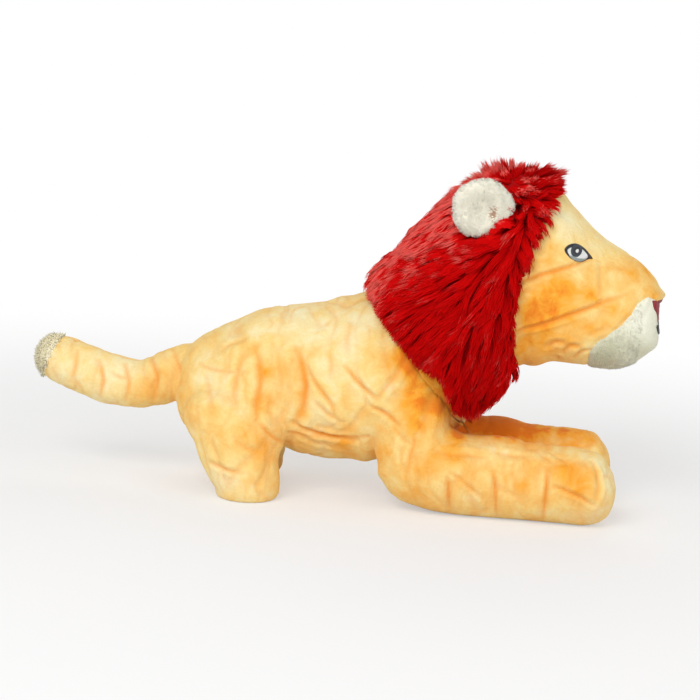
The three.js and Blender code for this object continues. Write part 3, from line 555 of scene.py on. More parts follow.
# Edges of the cloths, by pixel: the mane's at the face and at its rear, and the muzzle's
MANE_EDGE = [
    (562, 168), (553, 193), (546, 212), (540, 228), (526, 264), (517, 286), (513, 320), (513, 353),
    (516, 368), (515, 380), (501, 397), (484, 412), (474, 420), (466, 446),
]
MANE_REAR_EDGE = [
    (330, 262), (362, 292), (375, 312), (391, 335), (408, 352), (417, 366), (430, 375), (444, 383),
    (448, 401), (455, 415), (464, 418), (474, 421), (496, 437),
]
MUZZLE_EDGE = [
    (674, 304), (660, 302.5), (654, 299.5), (648, 297), (638, 304), (632, 314), (621, 326), (610, 335),
    (597, 343), (590, 352), (587, 372),
]


def laid(tree, pixels, step=0.8):
    """A pixel line laid on the skin that the camera sees, as points about step apart."""
    places = []
    for (x0, y0), (x1, y1) in zip(pixels[:-1], pixels[1:]):
        count = max(2, int(math.hypot(x1 - x0, y1 - y0) * PIXEL_MM / step))
        places += [(x0 + (x1 - x0) * k / count, y0 + (y1 - y0) * k / count) for k in range(count)]
    places.append(pixels[-1])
    found = [seen_at(tree, place) for place in smooth_line(np.array(places, float))]
    return np.array([np.array(hit) for hit in found if hit is not None])


def smooth_line(places, rounds=6):
    places = places.copy()
    for _ in range(rounds):
        places[1:-1] = (places[:-2] + 2 * places[1:-1] + places[2:]) / 4
    return places


def line_field(points, lines, tree):
    """How far inwards each point goes for the lines near it, and how deep in a line it lies, from 0 to 1,
    which sets the painted shade in the fold.
    """
    inward = np.zeros(len(points))
    crease = np.zeros(len(points))
    mirrored = points * [1, -1, 1]
    for pixels, depth, width, bulge in lines:
        samples = laid(tree, pixels)
        if len(samples) < 3:
            continue
        ends = np.sin(np.linspace(0.12, 1, len(samples)) * np.pi * 0.94) ** 0.7
        low, high = samples.min(0) - 5 * width, samples.max(0) + 5 * width
        for copy in (points, mirrored):
            near = np.where(((copy > low) & (copy < high)).all(1))[0]
            if not len(near):
                continue
            away = np.linalg.norm(copy[near][:, None, :] - samples[None, :, :], axis=2)
            nearest = away.argmin(1)
            gap = away[np.arange(len(near)), nearest] / width
            fade = ends[nearest]
            inward[near] += fade * (depth * np.exp(-gap**2) - bulge * np.exp(-((gap - 2.1) ** 2) / 0.9))
            crease[near] = np.maximum(crease[near], fade * min(1, depth / 1.6) * np.exp(-(gap**2) * 1.6))
    return inward, crease


def swelled(points, spots):
    """The spots' amounts at each point, each fading with its radius."""
    pixels = near_side_pixels(points)
    total = np.zeros(len(points))
    for centre, radius, amount in spots:
        total += amount * np.exp(-((np.linalg.norm(pixels - centre, axis=1) / radius) ** 2))
    return total


# Painted shade at each point from the spots, and painted light where it is below zero.
def painted_shade_at(points, spots):
    return np.clip(swelled(points, spots), -1, 1.3)


def crumpled(points, size, depth, width, seed):
    """Small folds of plush: how far inwards each point goes, and how deep in a fold it lies, from 0 to 1."""
    bend = np.stack([soft_noise(points, size * 1.6, seed + k) for k in (1, 2, 3)], 1) * size * 0.7
    line = soft_noise((points + bend) * [1, 0.45, 0.38], size, seed + 4)
    where = np.clip(0.5 + 1.6 * soft_noise(points, size * 2.2, seed + 5), 0, 1)
    fold = np.exp(-((line / width) ** 2)) * where
    puff = np.abs(line) * where
    return depth * (fold - 1.1 * puff), fold


def seam_depth(distance, width, depth):
    return depth * np.exp(-((distance / width) ** 2))


# Materials
class Shader:
    """The node tree of a material or a world, built a node at a time."""

    def __init__(self, owner):
        owner.use_nodes = True
        self.owner = owner
        self.nodes, self.links = owner.node_tree.nodes, owner.node_tree.links

    def node(self, kind, **settings):
        made = self.nodes.new("ShaderNode" + kind)
        for key, value in settings.items():
            if hasattr(made, key):
                setattr(made, key, value)
            else:
                made.inputs[key.replace("_", " ")].default_value = value
        return made

    def feed(self, sockets, *values):
        """Each socket takes a value: another node's output, a colour or a number."""
        for socket, value in zip(sockets, values):
            if hasattr(value, "is_output"):
                self.links.new(value, socket)
            else:
                socket.default_value = (*value, 1) if isinstance(value, tuple) else value

    def computed(self, operation, *values):
        made = self.node("Math", operation=operation)
        self.feed(made.inputs, *values)
        return made.outputs[0]

    def mixed(self, blend_type, factor, one, other):
        made = self.node("Mix", data_type="RGBA", blend_type=blend_type)
        self.feed([made.inputs[0], made.inputs[6], made.inputs[7]], factor, one, other)
        return made.outputs[2]

    def measured(self, name):
        return self.node("Attribute", attribute_name=name).outputs["Fac"]

    def ramp(self, factor, *stops):
        """The colour at a factor between stops of (place, colour)."""
        made = self.node("ValToRGB")
        elements = made.color_ramp.elements
        while len(elements) < len(stops):
            elements.new(0.5)
        for element, (place, colour) in zip(elements, stops):
            element.position = place
            element.color = (*colour, 1)
        self.links.new(factor, made.inputs["Fac"])
        return made.outputs["Color"]

    def grain(self, scale, detail=3.0, rough=0.6, distortion=0.0):
        made = self.node("TexNoise", Scale=scale, Detail=detail, Roughness=rough, Distortion=distortion)
        self.links.new(self.node("TexCoord").outputs["Object"], made.inputs["Vector"])
        return made.outputs["Fac"]

    def surface(self, colour, *bumps, **settings):
        """The material's surface: its colour, bumps as (height, metres, strength), and the other settings."""
        bsdf = self.nodes["Principled BSDF"]
        self.links.new(colour, bsdf.inputs["Base Color"])
        for key, value in settings.items():
            bsdf.inputs[key.replace("_", " ")].default_value = value
        last = None
        for height, distance, strength in bumps:
            made = self.node("Bump", Distance=distance, Strength=strength)
            self.links.new(height, made.inputs["Height"])
            if last:
                self.links.new(last, made.inputs["Normal"])
            last = made.outputs["Normal"]
        if last:
            self.links.new(last, bsdf.inputs["Normal"])
        return self.owner


PILE_GRAIN = 650.0
FLECKS = (0.3, (0.93, 0.92, 0.9)), (0.7, (1.03, 1.03, 1.03))


def new_shader(name):
    return Shader(bpy.data.materials.new(name))


def pile_material(name, pale, middle, deep, crease, sheen, mottle=0.75, deepest=None):
    """Short pile: colour from the painted shade and painted light set at each point, darker still where shade
    is painted in creases and seams, mottled with painted light and shade where the nap leans over, finely
    grained.
    """
    shader = new_shader(name)
    nap = shader.grain(95, 4, 0.62, 0.6)
    fine = shader.grain(PILE_GRAIN, 3, 0.7)
    coarse = shader.grain(PILE_GRAIN * 0.38, 3, 0.65)
    depth = shader.computed("MULTIPLY_ADD", shader.measured("deep"), 0.44, 0.42)
    for noise, amount in ((shader.grain(22, 2, 0.5), 1.2 * mottle), (nap, mottle)):
        drift = shader.computed("MULTIPLY", shader.computed("SUBTRACT", noise, 0.5), amount)
        depth = shader.computed("ADD", depth, drift)
    tone = shader.ramp(depth, (0.0, pale), (0.42, middle), (0.84, deep), (1.0, deepest or deep))
    colour = shader.mixed("MIX", shader.measured("crease"), tone, crease)
    colour = shader.mixed("MULTIPLY", 0.75, colour, shader.ramp(fine, *FLECKS))
    return shader.surface(
        colour, (nap, 0.0012, 0.5), (coarse, 0.0006, 0.4), (fine, 0.0003, 0.5),
        Roughness=0.92, Specular_IOR_Level=0.18,
        Sheen_Weight=sheen, Sheen_Roughness=0.45, Sheen_Tint=(*pale, 1),
    )


def strand_material(name, root, middle, tip, pale, sheen):
    """Long pile: dark at the root as painted shade within the pile, lighter at the tip, palest where painted
    light is added, each tuft and strand a little different.
    """
    shader = new_shader(name)
    own = shader.computed("MULTIPLY", shader.computed("SUBTRACT", shader.measured("tone"), 0.5), 0.7)
    lift = shader.computed("ADD", shader.measured("along"), own)
    return shader.surface(
        shader.ramp(lift, (0.0, root), (0.45, middle), (0.85, tip), (1.0, pale)),
        (shader.grain(1400, 2, 0.5), 0.0002, 0.35),
        Roughness=0.85, Specular_IOR_Level=0.04,
        Sheen_Weight=sheen, Sheen_Roughness=0.4, Sheen_Tint=(*pale, 1),
    )


def thread_material(name, colour, light, turn=(0, 0, 0), scale=900.0):
    """Satin stitching: close parallel threads, each lighter along its crown as painted sheen, with a soft
    gleam.
    """
    shader = new_shader(name)
    place = shader.node("Mapping", Rotation=turn)
    shader.links.new(shader.node("TexCoord").outputs["Object"], place.inputs["Vector"])
    wave = shader.node("TexWave", Scale=scale, Distortion=1.2, Detail=2.0, bands_direction="X")
    shader.links.new(place.outputs["Vector"], wave.inputs["Vector"])
    threads = wave.outputs["Fac"]
    tone = shader.ramp(threads, (0.0, colour), (1.0, light))
    return shader.surface(tone, (threads, 0.0003, 0.6), Roughness=0.42, Specular_IOR_Level=0.4)


# Gold pile: pale for painted light, the gold itself, orange for painted shade, and deeper orange for painted
# shade in creases and the darkest shade.
GOLD_PILE = pile_material(
    "golden_pile", (0.91, 0.84, 0.53), (0.91, 0.66, 0.25), (0.90, 0.40, 0.04), (0.84, 0.31, 0.04), 0.15,
    deepest=(0.82, 0.22, 0.015),
)
# Cream pile of the muzzle: its greyer colours are painted shade.
CREAM_PILE = pile_material(
    "cream_pile", (0.93, 0.92, 0.81), (0.86, 0.86, 0.71), (0.57, 0.58, 0.41), (0.55, 0.52, 0.40), 0.15,
    mottle=0.25,
)
# Red backing, darker than the strands, as painted shade under them.
MANE_BACKING = pile_material(
    "red_pile_backing",
    (0.40, 0.003, 0.005), (0.34, 0.002, 0.004), (0.30, 0.002, 0.003), (0.25, 0.002, 0.003), 0.0,
)
# Cream pile of the ears and tail tip: brown for the painted shade in the ear's hollow and in creases.
EAR_PILE = pile_material(
    "ear_pile", (0.98, 0.95, 0.80), (0.97, 0.93, 0.77), (0.66, 0.46, 0.32), (0.36, 0.22, 0.15), 0.2,
    mottle=0.15,
)
# Red strands: darkest at the root for painted shade, pinkish pale where painted light is added.
MANE_STRANDS = strand_material(
    "red_long_pile", (0.36, 0.0, 0.001), (0.56, 0.001, 0.001), (0.68, 0.003, 0.004), (0.92, 0.12, 0.10), 0.0,
)
EAR_FUZZ = strand_material(
    "cream_fuzz", (0.99, 0.95, 0.78), (1.0, 0.97, 0.82), (1.0, 0.98, 0.85), (1.0, 0.98, 0.88), 0.35,
)
MUZZLE_FUZZ = strand_material(
    "muzzle_fuzz", (0.82, 0.82, 0.66), (0.84, 0.84, 0.69), (0.86, 0.86, 0.72), (0.9, 0.9, 0.78), 0.0,
)
TIP_FUZZ = strand_material(
    "pale_fuzz", (1.0, 0.86, 0.48), (1.0, 0.90, 0.58), (1.0, 0.92, 0.66), (1.0, 0.94, 0.74), 0.4,
)
BLACK_THREAD = thread_material("black_thread", (0.006, 0.006, 0.008), (0.03, 0.03, 0.035))
WHITE_THREAD = thread_material("white_thread", (0.72, 0.73, 0.72), (0.90, 0.90, 0.89))
GREY_THREAD = thread_material("grey_thread", (0.20, 0.24, 0.25), (0.42, 0.47, 0.47))
IRIS_THREAD = thread_material("dark_blue_thread", (0.012, 0.018, 0.03), (0.05, 0.065, 0.09), (0, 0.7, 0))
NOSE_THREAD = thread_material(
    "dark_red_thread", (0.16, 0.004, 0.008), (0.34, 0.012, 0.02), (0, 0, math.pi / 2), scale=330.0,
)


# Body: torso, legs and tail as one smooth skin, divided where they are sewn together
BODY_NAMES = ["torso", "front_leg_left", "front_leg_right", "hind_leg_left", "hind_leg_right", "tail"]
TORSO_LABEL, FRONT_LEG_LABELS, HIND_LEG_LABELS, TAIL_LABEL = 0, [1, 2], [3, 4], 5
SEAM_SMOOTHING = dict(reach=6.0, rounds=26)
NECK_ROOM = dict(gap=1.2, most=12, behind=1.5, length=25)
BODY_SWELLING = [(1.0, 34, 1), (0.5, 13, 2), (0.2, 6, 3)]
BODY_CRUMPLES = [(19, 0.9, 0.1, 31), (10, 0.4, 0.13, 41)]
BELLY_SEAM_SHARE = 0.62
# The tail's tip lies behind a plane across the tail; the soles are the faces nearest to the floor
TAIL_TIP = dict(way=np.array([0.927, 0, -0.375]), x=-181, z=76)
SOLE_HEIGHT = 0.35


def belly_line(torso, x):
    """The height of the belly panel's seam along the torso."""
    u = np.linspace(0, 1, 60)
    middle, girth, lean = spline(torso.middles, u), spline(torso.girths, u), spline(torso.leans, u)
    drop = girth[:, 1] * torso.radius * BELLY_SEAM_SHARE
    tilt = np.radians(lean[:, 0])
    along = middle[:, 0] + np.sin(tilt) * drop
    return np.interp(x, along, middle[:, 1] - np.cos(tilt) * drop)


def build_body():
    points, faces = remeshed([forms[name].mesh(110, 120) for name in BODY_NAMES], VOXEL)
    gaps = [np.abs(signed_distances(tree_of_form(forms[name]), points)[0]) for name in BODY_NAMES]
    gaps = np.stack(gaps, 1)
    order = np.sort(gaps, 1)
    joining = np.exp(-((order[:, 1] / SEAM_SMOOTHING["reach"]) ** 2))
    points = relaxed(points, faces, SEAM_SMOOTHING["rounds"], 0.5, joining)
    # The shoulders make room for the head
    depth, way = signed_distances(tree_of_form(forms["head"], longer=NECK_ROOM["length"]), points)
    inside = np.clip(NECK_ROOM["gap"] - depth, 0, None)
    ahead = (points - NECK) @ NECK_NORMAL > NECK_ROOM["behind"]
    close = (inside > 0) & (inside < NECK_ROOM["most"]) & ahead
    points[close] += way[close] * inside[close][:, None]
    normals = normals_of(points, faces)
    above_floor = np.clip(points[:, 2] / 6, 0, 1)
    swell = layered_noise(points, *BODY_SWELLING)
    inward, crease = line_field(points, BODY_LINES, tree_of(points, faces))
    spine = np.where(normals[:, 2] > 0.55, np.abs(points[:, 1]), FAR)
    inward += seam_depth(spine, 1.3, 0.8)
    # Small folds sink the cloth and add painted shade in their creases.
    for size, depth, width, seed in BODY_CRUMPLES:
        small, fold = crumpled(points, size, depth, width, seed)
        inward += small
        crease = np.maximum(crease, fold * 0.32)
    belly = np.abs(points[:, 2] - belly_line(forms["torso"], points[:, 0]))
    on_torso = (gaps[:, 0] < 1.5) & (order[:, 1] > 3)
    belly_seam = np.where(on_torso & (np.abs(points[:, 1]) > 6), belly, FAR)
    inward += seam_depth(belly_seam, 1.3, 0.6)
    points = points + normals * ((swell - inward + swelled(points, BODY_SWELLS)) * above_floor)[:, None]
    points[:, 2] = np.maximum(points[:, 2], 0.0)
    # Painted shade and painted light from the spots.
    label = gaps.argmin(1)
    deep = painted_shade_at(points, SHADE_AND_LIGHT_SPOTS)
    # Painted shade on the cloth between the two front legs, where little light reaches
    within = np.sign(points[:, 1]) * normals[:, 1] < 0.35
    along_leg = np.interp(points[:, 0], [50, 70, 120, 165], [0, 1.0, 0.7, 0.3])
    inner_shade = np.clip((FRONT_LEG["spacing"] / 2 + 3 - np.abs(points[:, 1])) / 7, 0, 1)
    inner_shade = inner_shade * within * (points[:, 2] > 12)
    deep = np.where(np.isin(label, FRONT_LEG_LABELS), np.maximum(deep, deep + inner_shade * along_leg), deep)
    # Painted shade along the spine and belly seams, added to that in the folds.
    crease = crease + 0.5 * seam_depth(spine, 1.2, 1.0) + 0.4 * seam_depth(belly_seam, 1.2, 1.0)
    return points, faces, label, deep, np.clip(crease, 0, 1)


forms = build_forms()
body_points, body_faces, body_label, body_deep, body_crease = build_body()
face_label = np.array([np.bincount(row, minlength=6).argmax() for row in body_label[body_faces]])
face_middle = body_points[body_faces].mean(1)
tip_plane = TAIL_TIP["x"] * TAIL_TIP["way"][0] + TAIL_TIP["way"][2] * TAIL_TIP["z"]
tip_faces = (face_label == TAIL_LABEL) & (face_middle @ TAIL_TIP["way"] < tip_plane)
sole_faces = np.isin(face_label, HIND_LEG_LABELS) & (face_middle[:, 2] < SOLE_HEIGHT)


def body_piece(name, chosen, replaced, cloth=GOLD_PILE):
    points, faces, (deep, crease) = taken(body_points, body_faces, chosen, body_deep, body_crease)
    made = new_object(name, points, faces, NO_TRIS, cloth, deep=deep, crease=crease)
    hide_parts(*replaced)
    return made


torso_panels = ["torso_panel_left", "torso_panel_right", "belly_panel", "torso_stuffing"]
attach(body_piece("torso_skin", face_label == TORSO_LABEL, torso_panels), "torso")
for hand in ("left", "right"):
    own = face_label == BODY_NAMES.index(f"front_leg_{hand}")
    leg = body_piece(f"front_leg_skin_{hand}", own, [f"front_leg_cover_{hand}", f"front_leg_stuffing_{hand}"])
    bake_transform(leg)
    own = face_label == BODY_NAMES.index(f"hind_leg_{hand}")
    replaced = [f"hind_leg_cover_{hand}", f"hind_leg_stuffing_{hand}"]
    leg = body_piece(f"hind_leg_skin_{hand}", own & ~sole_faces, replaced)
    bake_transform(leg)
    sole = body_piece(f"hind_sole_{hand}", own & sole_faces, [f"hind_foot_sole_{hand}"])
    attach(sole, f"hind_leg_{hand}")
tail_skin = body_piece("tail_skin", (face_label == TAIL_LABEL) & ~tip_faces, ["tail_cover", "tail_stuffing"])
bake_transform(tail_skin)
tail_tip = body_piece("tail_tip_skin", tip_faces, ["tail_tip_cover"], cloth=EAR_PILE)
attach(tail_tip, "tail")


# Head: golden face and cream muzzle
HEAD_SWELLING = [(0.8, 30, 5), (0.4, 12, 6), (0.12, 5, 7)]
# How far the snout's front moves at each height: in under the nose and out again at the chin
SNOUT_LEVELS = [99, 104, 109, 114.5, 118, 125, 131, 134.5, 137]
SNOUT_SHIFTS = [0.5, 1.4, 1.6, 1.0, 0.5, -1.3, -1.9, -1.2, 0]
NOSE_TIP = dict(out=3.2, z=138.5, high=3.4, wide=13)


def shaped_snout(points):
    """The snout's profile, with the nose's tip standing out; points move along x only."""
    front = np.clip((points[:, 0] - 168) / 12, 0, 1) * np.exp(-((points[:, 1] / 22) ** 2))
    points[:, 0] += front * np.interp(points[:, 2], SNOUT_LEVELS, SNOUT_SHIFTS)
    high, wide = (points[:, 2] - NOSE_TIP["z"]) / NOSE_TIP["high"], points[:, 1] / NOSE_TIP["wide"]
    points[:, 0] += NOSE_TIP["out"] * np.exp(-(high**2) - wide**2) * np.clip((points[:, 0] - 172) / 14, 0, 1)


def onto_muzzle_edge(points, normals, step=0.4):
    """Points beside the muzzle's edge go onto it, so that the two cloths meet in a clean line."""
    edge = past_line(points, MUZZLE_EDGE) * PIXEL_MM
    slope = [(past_line(points + axis * step, MUZZLE_EDGE) * PIXEL_MM - edge) / step for axis in np.eye(3)]
    slope = np.stack(slope, 1)
    slope -= normals * np.sum(slope * normals, 1, keepdims=True)
    size = np.sum(slope**2, 1, keepdims=True)
    close = (np.abs(edge) < 0.62 * HEAD_VOXEL) & (size[:, 0] > 0.2)
    points[close] -= (slope / np.maximum(size, 1e-6) * edge[:, None])[close]


def build_head():
    points, faces = remeshed([forms["head"].mesh(121, 132)], HEAD_VOXEL)
    normals = normals_of(points, faces)
    swell = layered_noise(points, *HEAD_SWELLING)
    inward, crease = line_field(points, FACE_LINES, tree_of(points, faces))
    # Small folds sink the cloth and add painted shade in their creases.
    small, fold = crumpled(points, 19, 0.5, 0.1, 51)
    inward += small
    crease = np.maximum(crease, fold * 0.25)
    inward += seam_depth(past_line(points, MUZZLE_EDGE) * PIXEL_MM, 1.4, 0.8)
    swell += swelled(points, FACE_SWELLS)
    shaped_snout(points)
    brow = np.where((points[:, 0] > 112) & (normals[:, 2] > 0.3), np.abs(points[:, 1]), FAR)
    inward += seam_depth(brow, 1.3, 0.7)
    neck = np.clip(((points - NECK) @ NECK_NORMAL - 2) / 6, 0, 1)
    points = points + normals * ((swell - inward) * neck)[:, None]
    for _ in range(2):
        onto_muzzle_edge(points, normals)
    # Painted shade along the brow seam, added to that in the folds.
    return points, faces, np.clip(crease + 0.35 * seam_depth(brow, 1.2, 1.0), 0, 1)


head_points, head_faces, head_crease = build_head()
head_middle = head_points[head_faces].mean(1)
muzzle_faces = (past_line(head_middle, MUZZLE_EDGE) < 0) & (head_middle[:, 0] > 130)


def head_piece(name, chosen, cloth, replaced, spots):
    # Painted shade and painted light from the spots, and painted shade in the creases.
    fields = painted_shade_at(head_points, spots), head_crease
    points, faces, (deep, crease) = taken(head_points, head_faces, chosen, *fields)
    made = new_object(name, points, faces, NO_TRIS, cloth, deep=deep, crease=crease)
    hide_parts(*replaced)
    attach(made, "head")


face_nodes = ["face_panel_left", "face_panel_right", "head_stuffing"]
head_piece("face_skin", ~muzzle_faces, GOLD_PILE, face_nodes, FACE_SHADE_AND_LIGHT_SPOTS)
head_piece("muzzle_skin", muzzle_faces, CREAM_PILE, ["muzzle_panel"], MUZZLE_SHADE_AND_LIGHT_SPOTS)

head_tree = tree_of(head_points, head_faces)
body_tree = tree_of(body_points, body_faces)


# Mane: a backing on the head, and strands in tufts that stand on it
MANE_MIDDLE = [96, 0, 130]
BACKING_SHARES = [0, 0.06, 0.2, 0.7, 0.9, 0.97, 1], [0.16, 0.42, 0.62, 0.55, 0.32, 0.12, 0.02]
THROAT_HEIGHTS, THROAT_HALF_WIDTHS = [70, 100, 108], np.array([19, 14, -1])
LEG_ROOM = dict(gap=1.5, most=14, from_x=20, to_z=84)


def mane_reach(angle, steps=60):
    """The share of the mane's length at which it meets the face, at each angle."""
    u = np.linspace(0.5, 1, steps)
    behind = past_line(forms["mane"].surface(u[:, None], angle[None, :]), MANE_EDGE) > 0
    last = np.where(behind.all(0), steps - 1, np.argmin(behind, 0))
    reach = u[np.maximum(last, 1)]
    for _ in range(8):
        reach = (np.roll(reach, 1) + 2 * reach + np.roll(reach, -1)) / 4
    return reach


def clear_of_legs(points):
    """Moves points out of the front legs, so that the pile lies beside them."""
    for hand in ("left", "right"):
        where = np.where((points[:, 0] > LEG_ROOM["from_x"]) & (points[:, 2] < LEG_ROOM["to_z"]))[0]
        depth, way = signed_distances(tree_of_form(forms[f"front_leg_{hand}"]), points[where])
        points[where] += way * np.clip(LEG_ROOM["gap"] - depth, 0, LEG_ROOM["most"])[:, None]


def build_backing(rings=70, sides=144):
    """The mane's backing: points and quads, and how far along the mane each point lies, from 0 to 1."""
    u = np.linspace(0, 1, rings + 1)
    angle = np.arange(sides) * 2 * np.pi / sides
    outer = forms["mane"].surface(u[:, None] * mane_reach(angle)[None, :], angle[None, :]).reshape(-1, 3)
    share = np.repeat(np.interp(u, *BACKING_SHARES), sides)
    points = np.empty_like(outer)
    for k, point in enumerate(outer):
        near = np.array(head_tree.find_nearest(Vector(point))[0])
        way = point - near
        length = np.linalg.norm(way)
        points[k] = near + way / max(length, 1e-6) * (0.4 + length * share[k])
    outwards = normalised(points - MANE_MIDDLE)
    points += 0.5 * soft_noise(points, 9, 11)[:, None] * outwards
    points += (swelled(points, MANE_SWELLS) * np.exp(-((points[:, 1] / 21) ** 2)))[:, None] * outwards
    index = np.arange((rings + 1) * sides).reshape(rings + 1, sides)
    a, b = index[:-1], index[1:]
    quads = np.stack([a, np.roll(a, -1, 1), np.roll(b, -1, 1), b], -1).reshape(-1, 4)
    quads, _ = oriented(points, quads, NO_TRIS, points.mean(0))
    clear_of_legs(points)
    return points, quads, np.repeat(u, sides)


def within_edges(points, rear, rear_top, front, throat, front_top=85):
    """True where points lie inside the mane's edges: by rear and front pixels, up to the tops of those edges,
    and by throat millimetres beside the throat, where the mane's two halves end."""
    inside = (past_line(points, MANE_REAR_EDGE) < -rear) | (points[:, 2] > rear_top)
    inside &= (past_line(points, MANE_EDGE) > front) | (points[:, 2] > front_top)
    widths = THROAT_HALF_WIDTHS + [throat, throat, 0]
    return inside & (np.abs(points[:, 1]) > np.interp(points[:, 2], THROAT_HEIGHTS, widths))


mane_points, mane_faces, mane_along = build_backing()
mane_faces = mane_faces[within_edges(mane_points, 0, 95, 0, 0)[mane_faces].all(1)]
mane_tree = tree_of(mane_points, mane_faces)
level = np.zeros(len(mane_points))
backing = new_object("mane_backing", mane_points, mane_faces, NO_TRIS, MANE_BACKING, deep=level, crease=level)
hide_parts("mane_left", "mane_right")
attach(backing, "head")

# The way that the pile lies, by pixel of the photograph, as (x, y, way right, way down)
PILE_FLOW = [
    (417, 256, -1, 0.22), (380, 262, -0.9, 0.3), (417, 295, -0.88, 0.47), (446, 304, -0.75, 0.66),
    (475, 314, -0.5, 0.86), (494, 343, -0.12, 0.98), (465, 362, -0.25, 0.97), (475, 410, 0, 1),
    (504, 324, -0.05, 1), (510, 365, 0.1, 1), (436, 198, -0.75, 0.6), (427, 218, -0.85, 0.5),
    (504, 160, -0.25, -1), (480, 165, -0.5, -0.85), (533, 166, 0.3, -0.9), (562, 170, 0.95, -0.25),
    (529, 192, 0.3, 0.9), (547, 205, 0.75, 0.55), (540, 228, 0.45, 0.88), (529, 250, 0.12, 1),
    (485, 237, -0.6, 0.8), (500, 270, -0.5, 0.85), (455, 262, -0.8, 0.55), (515, 290, -0.02, 1),
    (400, 235, -0.8, 0.6), (510, 340, -0.08, 1), (517, 208, -0.7, 0.7), (507, 226, -0.8, 0.6),
    (496, 240, -0.85, 0.5), (445, 335, -0.6, 0.8), (550, 185, 0.9, 0.1), (506, 388, -0.35, 0.93),
    (492, 406, -0.6, 0.8),
]


def flow_at(points):
    """The way that the pile lies at each point, in the model's frame, as unit vectors."""
    table = np.array(PILE_FLOW, float)
    away = np.linalg.norm(near_side_pixels(points)[:, None, :] - table[None, :, :2], axis=2) + 3
    weight = away**-3.5
    way = normalised((weight[:, :, None] * table[None, :, 2:]).sum(1) / weight.sum(1)[:, None])
    flow = way[:, :1] * RIGHT[None, :] - way[:, 1:] * UP[None, :]
    flow[:, 1] = 0
    return normalised(flow)


def sampled(points, faces, count, rng, weight=1):
    """Random places on a skin, spread by area, with their face's normal and index."""
    corners = points[faces]
    outward = np.cross(corners[:, 2] - corners[:, 0], corners[:, 3] - corners[:, 1])
    area = np.linalg.norm(outward, axis=1) / 2 * weight
    chosen = rng.choice(len(faces), count, p=area / area.sum())
    s, t = rng.random((2, count, 1))
    quad = corners[chosen]
    place = (1 - s) * ((1 - t) * quad[:, 0] + t * quad[:, 3]) + s * ((1 - t) * quad[:, 1] + t * quad[:, 2])
    normal = normalised(np.cross(quad[:, 2] - quad[:, 0], quad[:, 3] - quad[:, 1]))
    return place, normal, chosen


def spread(points, gap):
    """Indices of points that keep at least gap from each other, taken in order."""
    kept, cells = [], {}
    for index, point in enumerate(points):
        cell = np.floor(point / gap).astype(int)
        near = [other for step in np.ndindex(3, 3, 3) for other in cells.get(tuple(cell + step - 1), ())]
        if all(np.sum((points[other] - point) ** 2) > gap**2 for other in near):
            kept.append(index)
            cells.setdefault(tuple(cell), []).append(index)
    return np.array(kept)


# The ears stand on the mane. An ear is drawn flat about its middle, stood on its foot and turned. The mane's
# pile lies over its lower front edge: the part of the flat drawing that lies furthest along the cover's way.
EAR_COVER_WAY = np.array([0.73, 0.68])
EAR_COVER_ACROSS = np.array([-0.68, 0.73])
EAR_COVER_FROM = 11.0
EAR_EDGE = 18


def ear_seat():
    angle = math.radians(EAR["angle"])
    seat = forms["mane"].surface(np.array([EAR["place"]]), np.array([angle]))[0]
    return seat - EAR["embedding"] * np.array([0, math.cos(angle), math.sin(angle)])


def turned(degrees, axis):
    return Matrix.Rotation(math.radians(degrees), 3, axis)


EAR_SEAT = ear_seat()
EAR_STAND = np.array(turned(-90, "X"))
EAR_TURN = np.array(turned(-EAR["yaw"], "Z") @ turned(-EAR["lean"], "X"))


def ear_placed(points, hand):
    stood = points @ EAR_STAND.T + [0, 0, EAR["radius"]]
    placed = stood @ EAR_TURN.T + EAR_SEAT
    return placed * [1, side_of(hand), 1]


def ear_local(points, hand):
    """Points in the ear's flat drawing."""
    stood = (points * [1, side_of(hand), 1] - EAR_SEAT) @ EAR_TURN - [0, 0, EAR["radius"]]
    return stood @ EAR_STAND


def inside_ear(points, grow):
    found = np.zeros(len(points), bool)
    r, t = EAR["radius"] + grow, EAR["half_thickness"] + grow
    for hand in ("left", "right"):
        local = ear_local(points, hand)
        within = (local[:, 0] / r) ** 2 + (local[:, 1] / r) ** 2 + (local[:, 2] / t) ** 2 < 1
        found |= within & (local[:, :2] @ EAR_COVER_WAY < EAR_COVER_FROM)
    return found


def beside_cover(local):
    """How far points of the flat drawing lie towards the covered edge, and how far to the side of that."""
    return local[:, :2] @ EAR_COVER_WAY, np.abs(local[:, :2] @ EAR_COVER_ACROSS)


def beside_ear_edge(points):
    """How close points are to the ear's lower front edge, from 0 to 1."""
    share = np.zeros(len(points))
    for hand in ("left", "right"):
        local = ear_local(points, hand)
        down, along = beside_cover(local)
        here = np.exp(-(((down - EAR_EDGE) / 7) ** 2) - (along / 14) ** 2) * (local[:, 2] > -18)
        share = np.maximum(share, here * (points[:, 1] * side_of(hand) > 0))
    return share


def over_ear_edge(points, share):
    """Points beside the ear's lower front edge lifted over it, by the share of their strand's length."""
    points = points.copy()
    for hand in ("left", "right"):
        near = np.where(points[:, 1] * side_of(hand) > 0)[0]
        local = ear_local(points[near], hand)
        down, along = beside_cover(local)
        need = 6.2 - np.clip(down - EAR_EDGE, 0, None) * 0.7 - np.clip(along - 14, 0, None) * 0.8
        lift = np.clip(need - local[:, 2], 0, 9) * np.clip((local[:, 2] + 14) / 5, 0, 1)
        local[:, 2] += lift * ((down > 8) * np.clip(share[near] * 2.2, 0, 1))
        points[near] = ear_placed(local, hand)
    return points


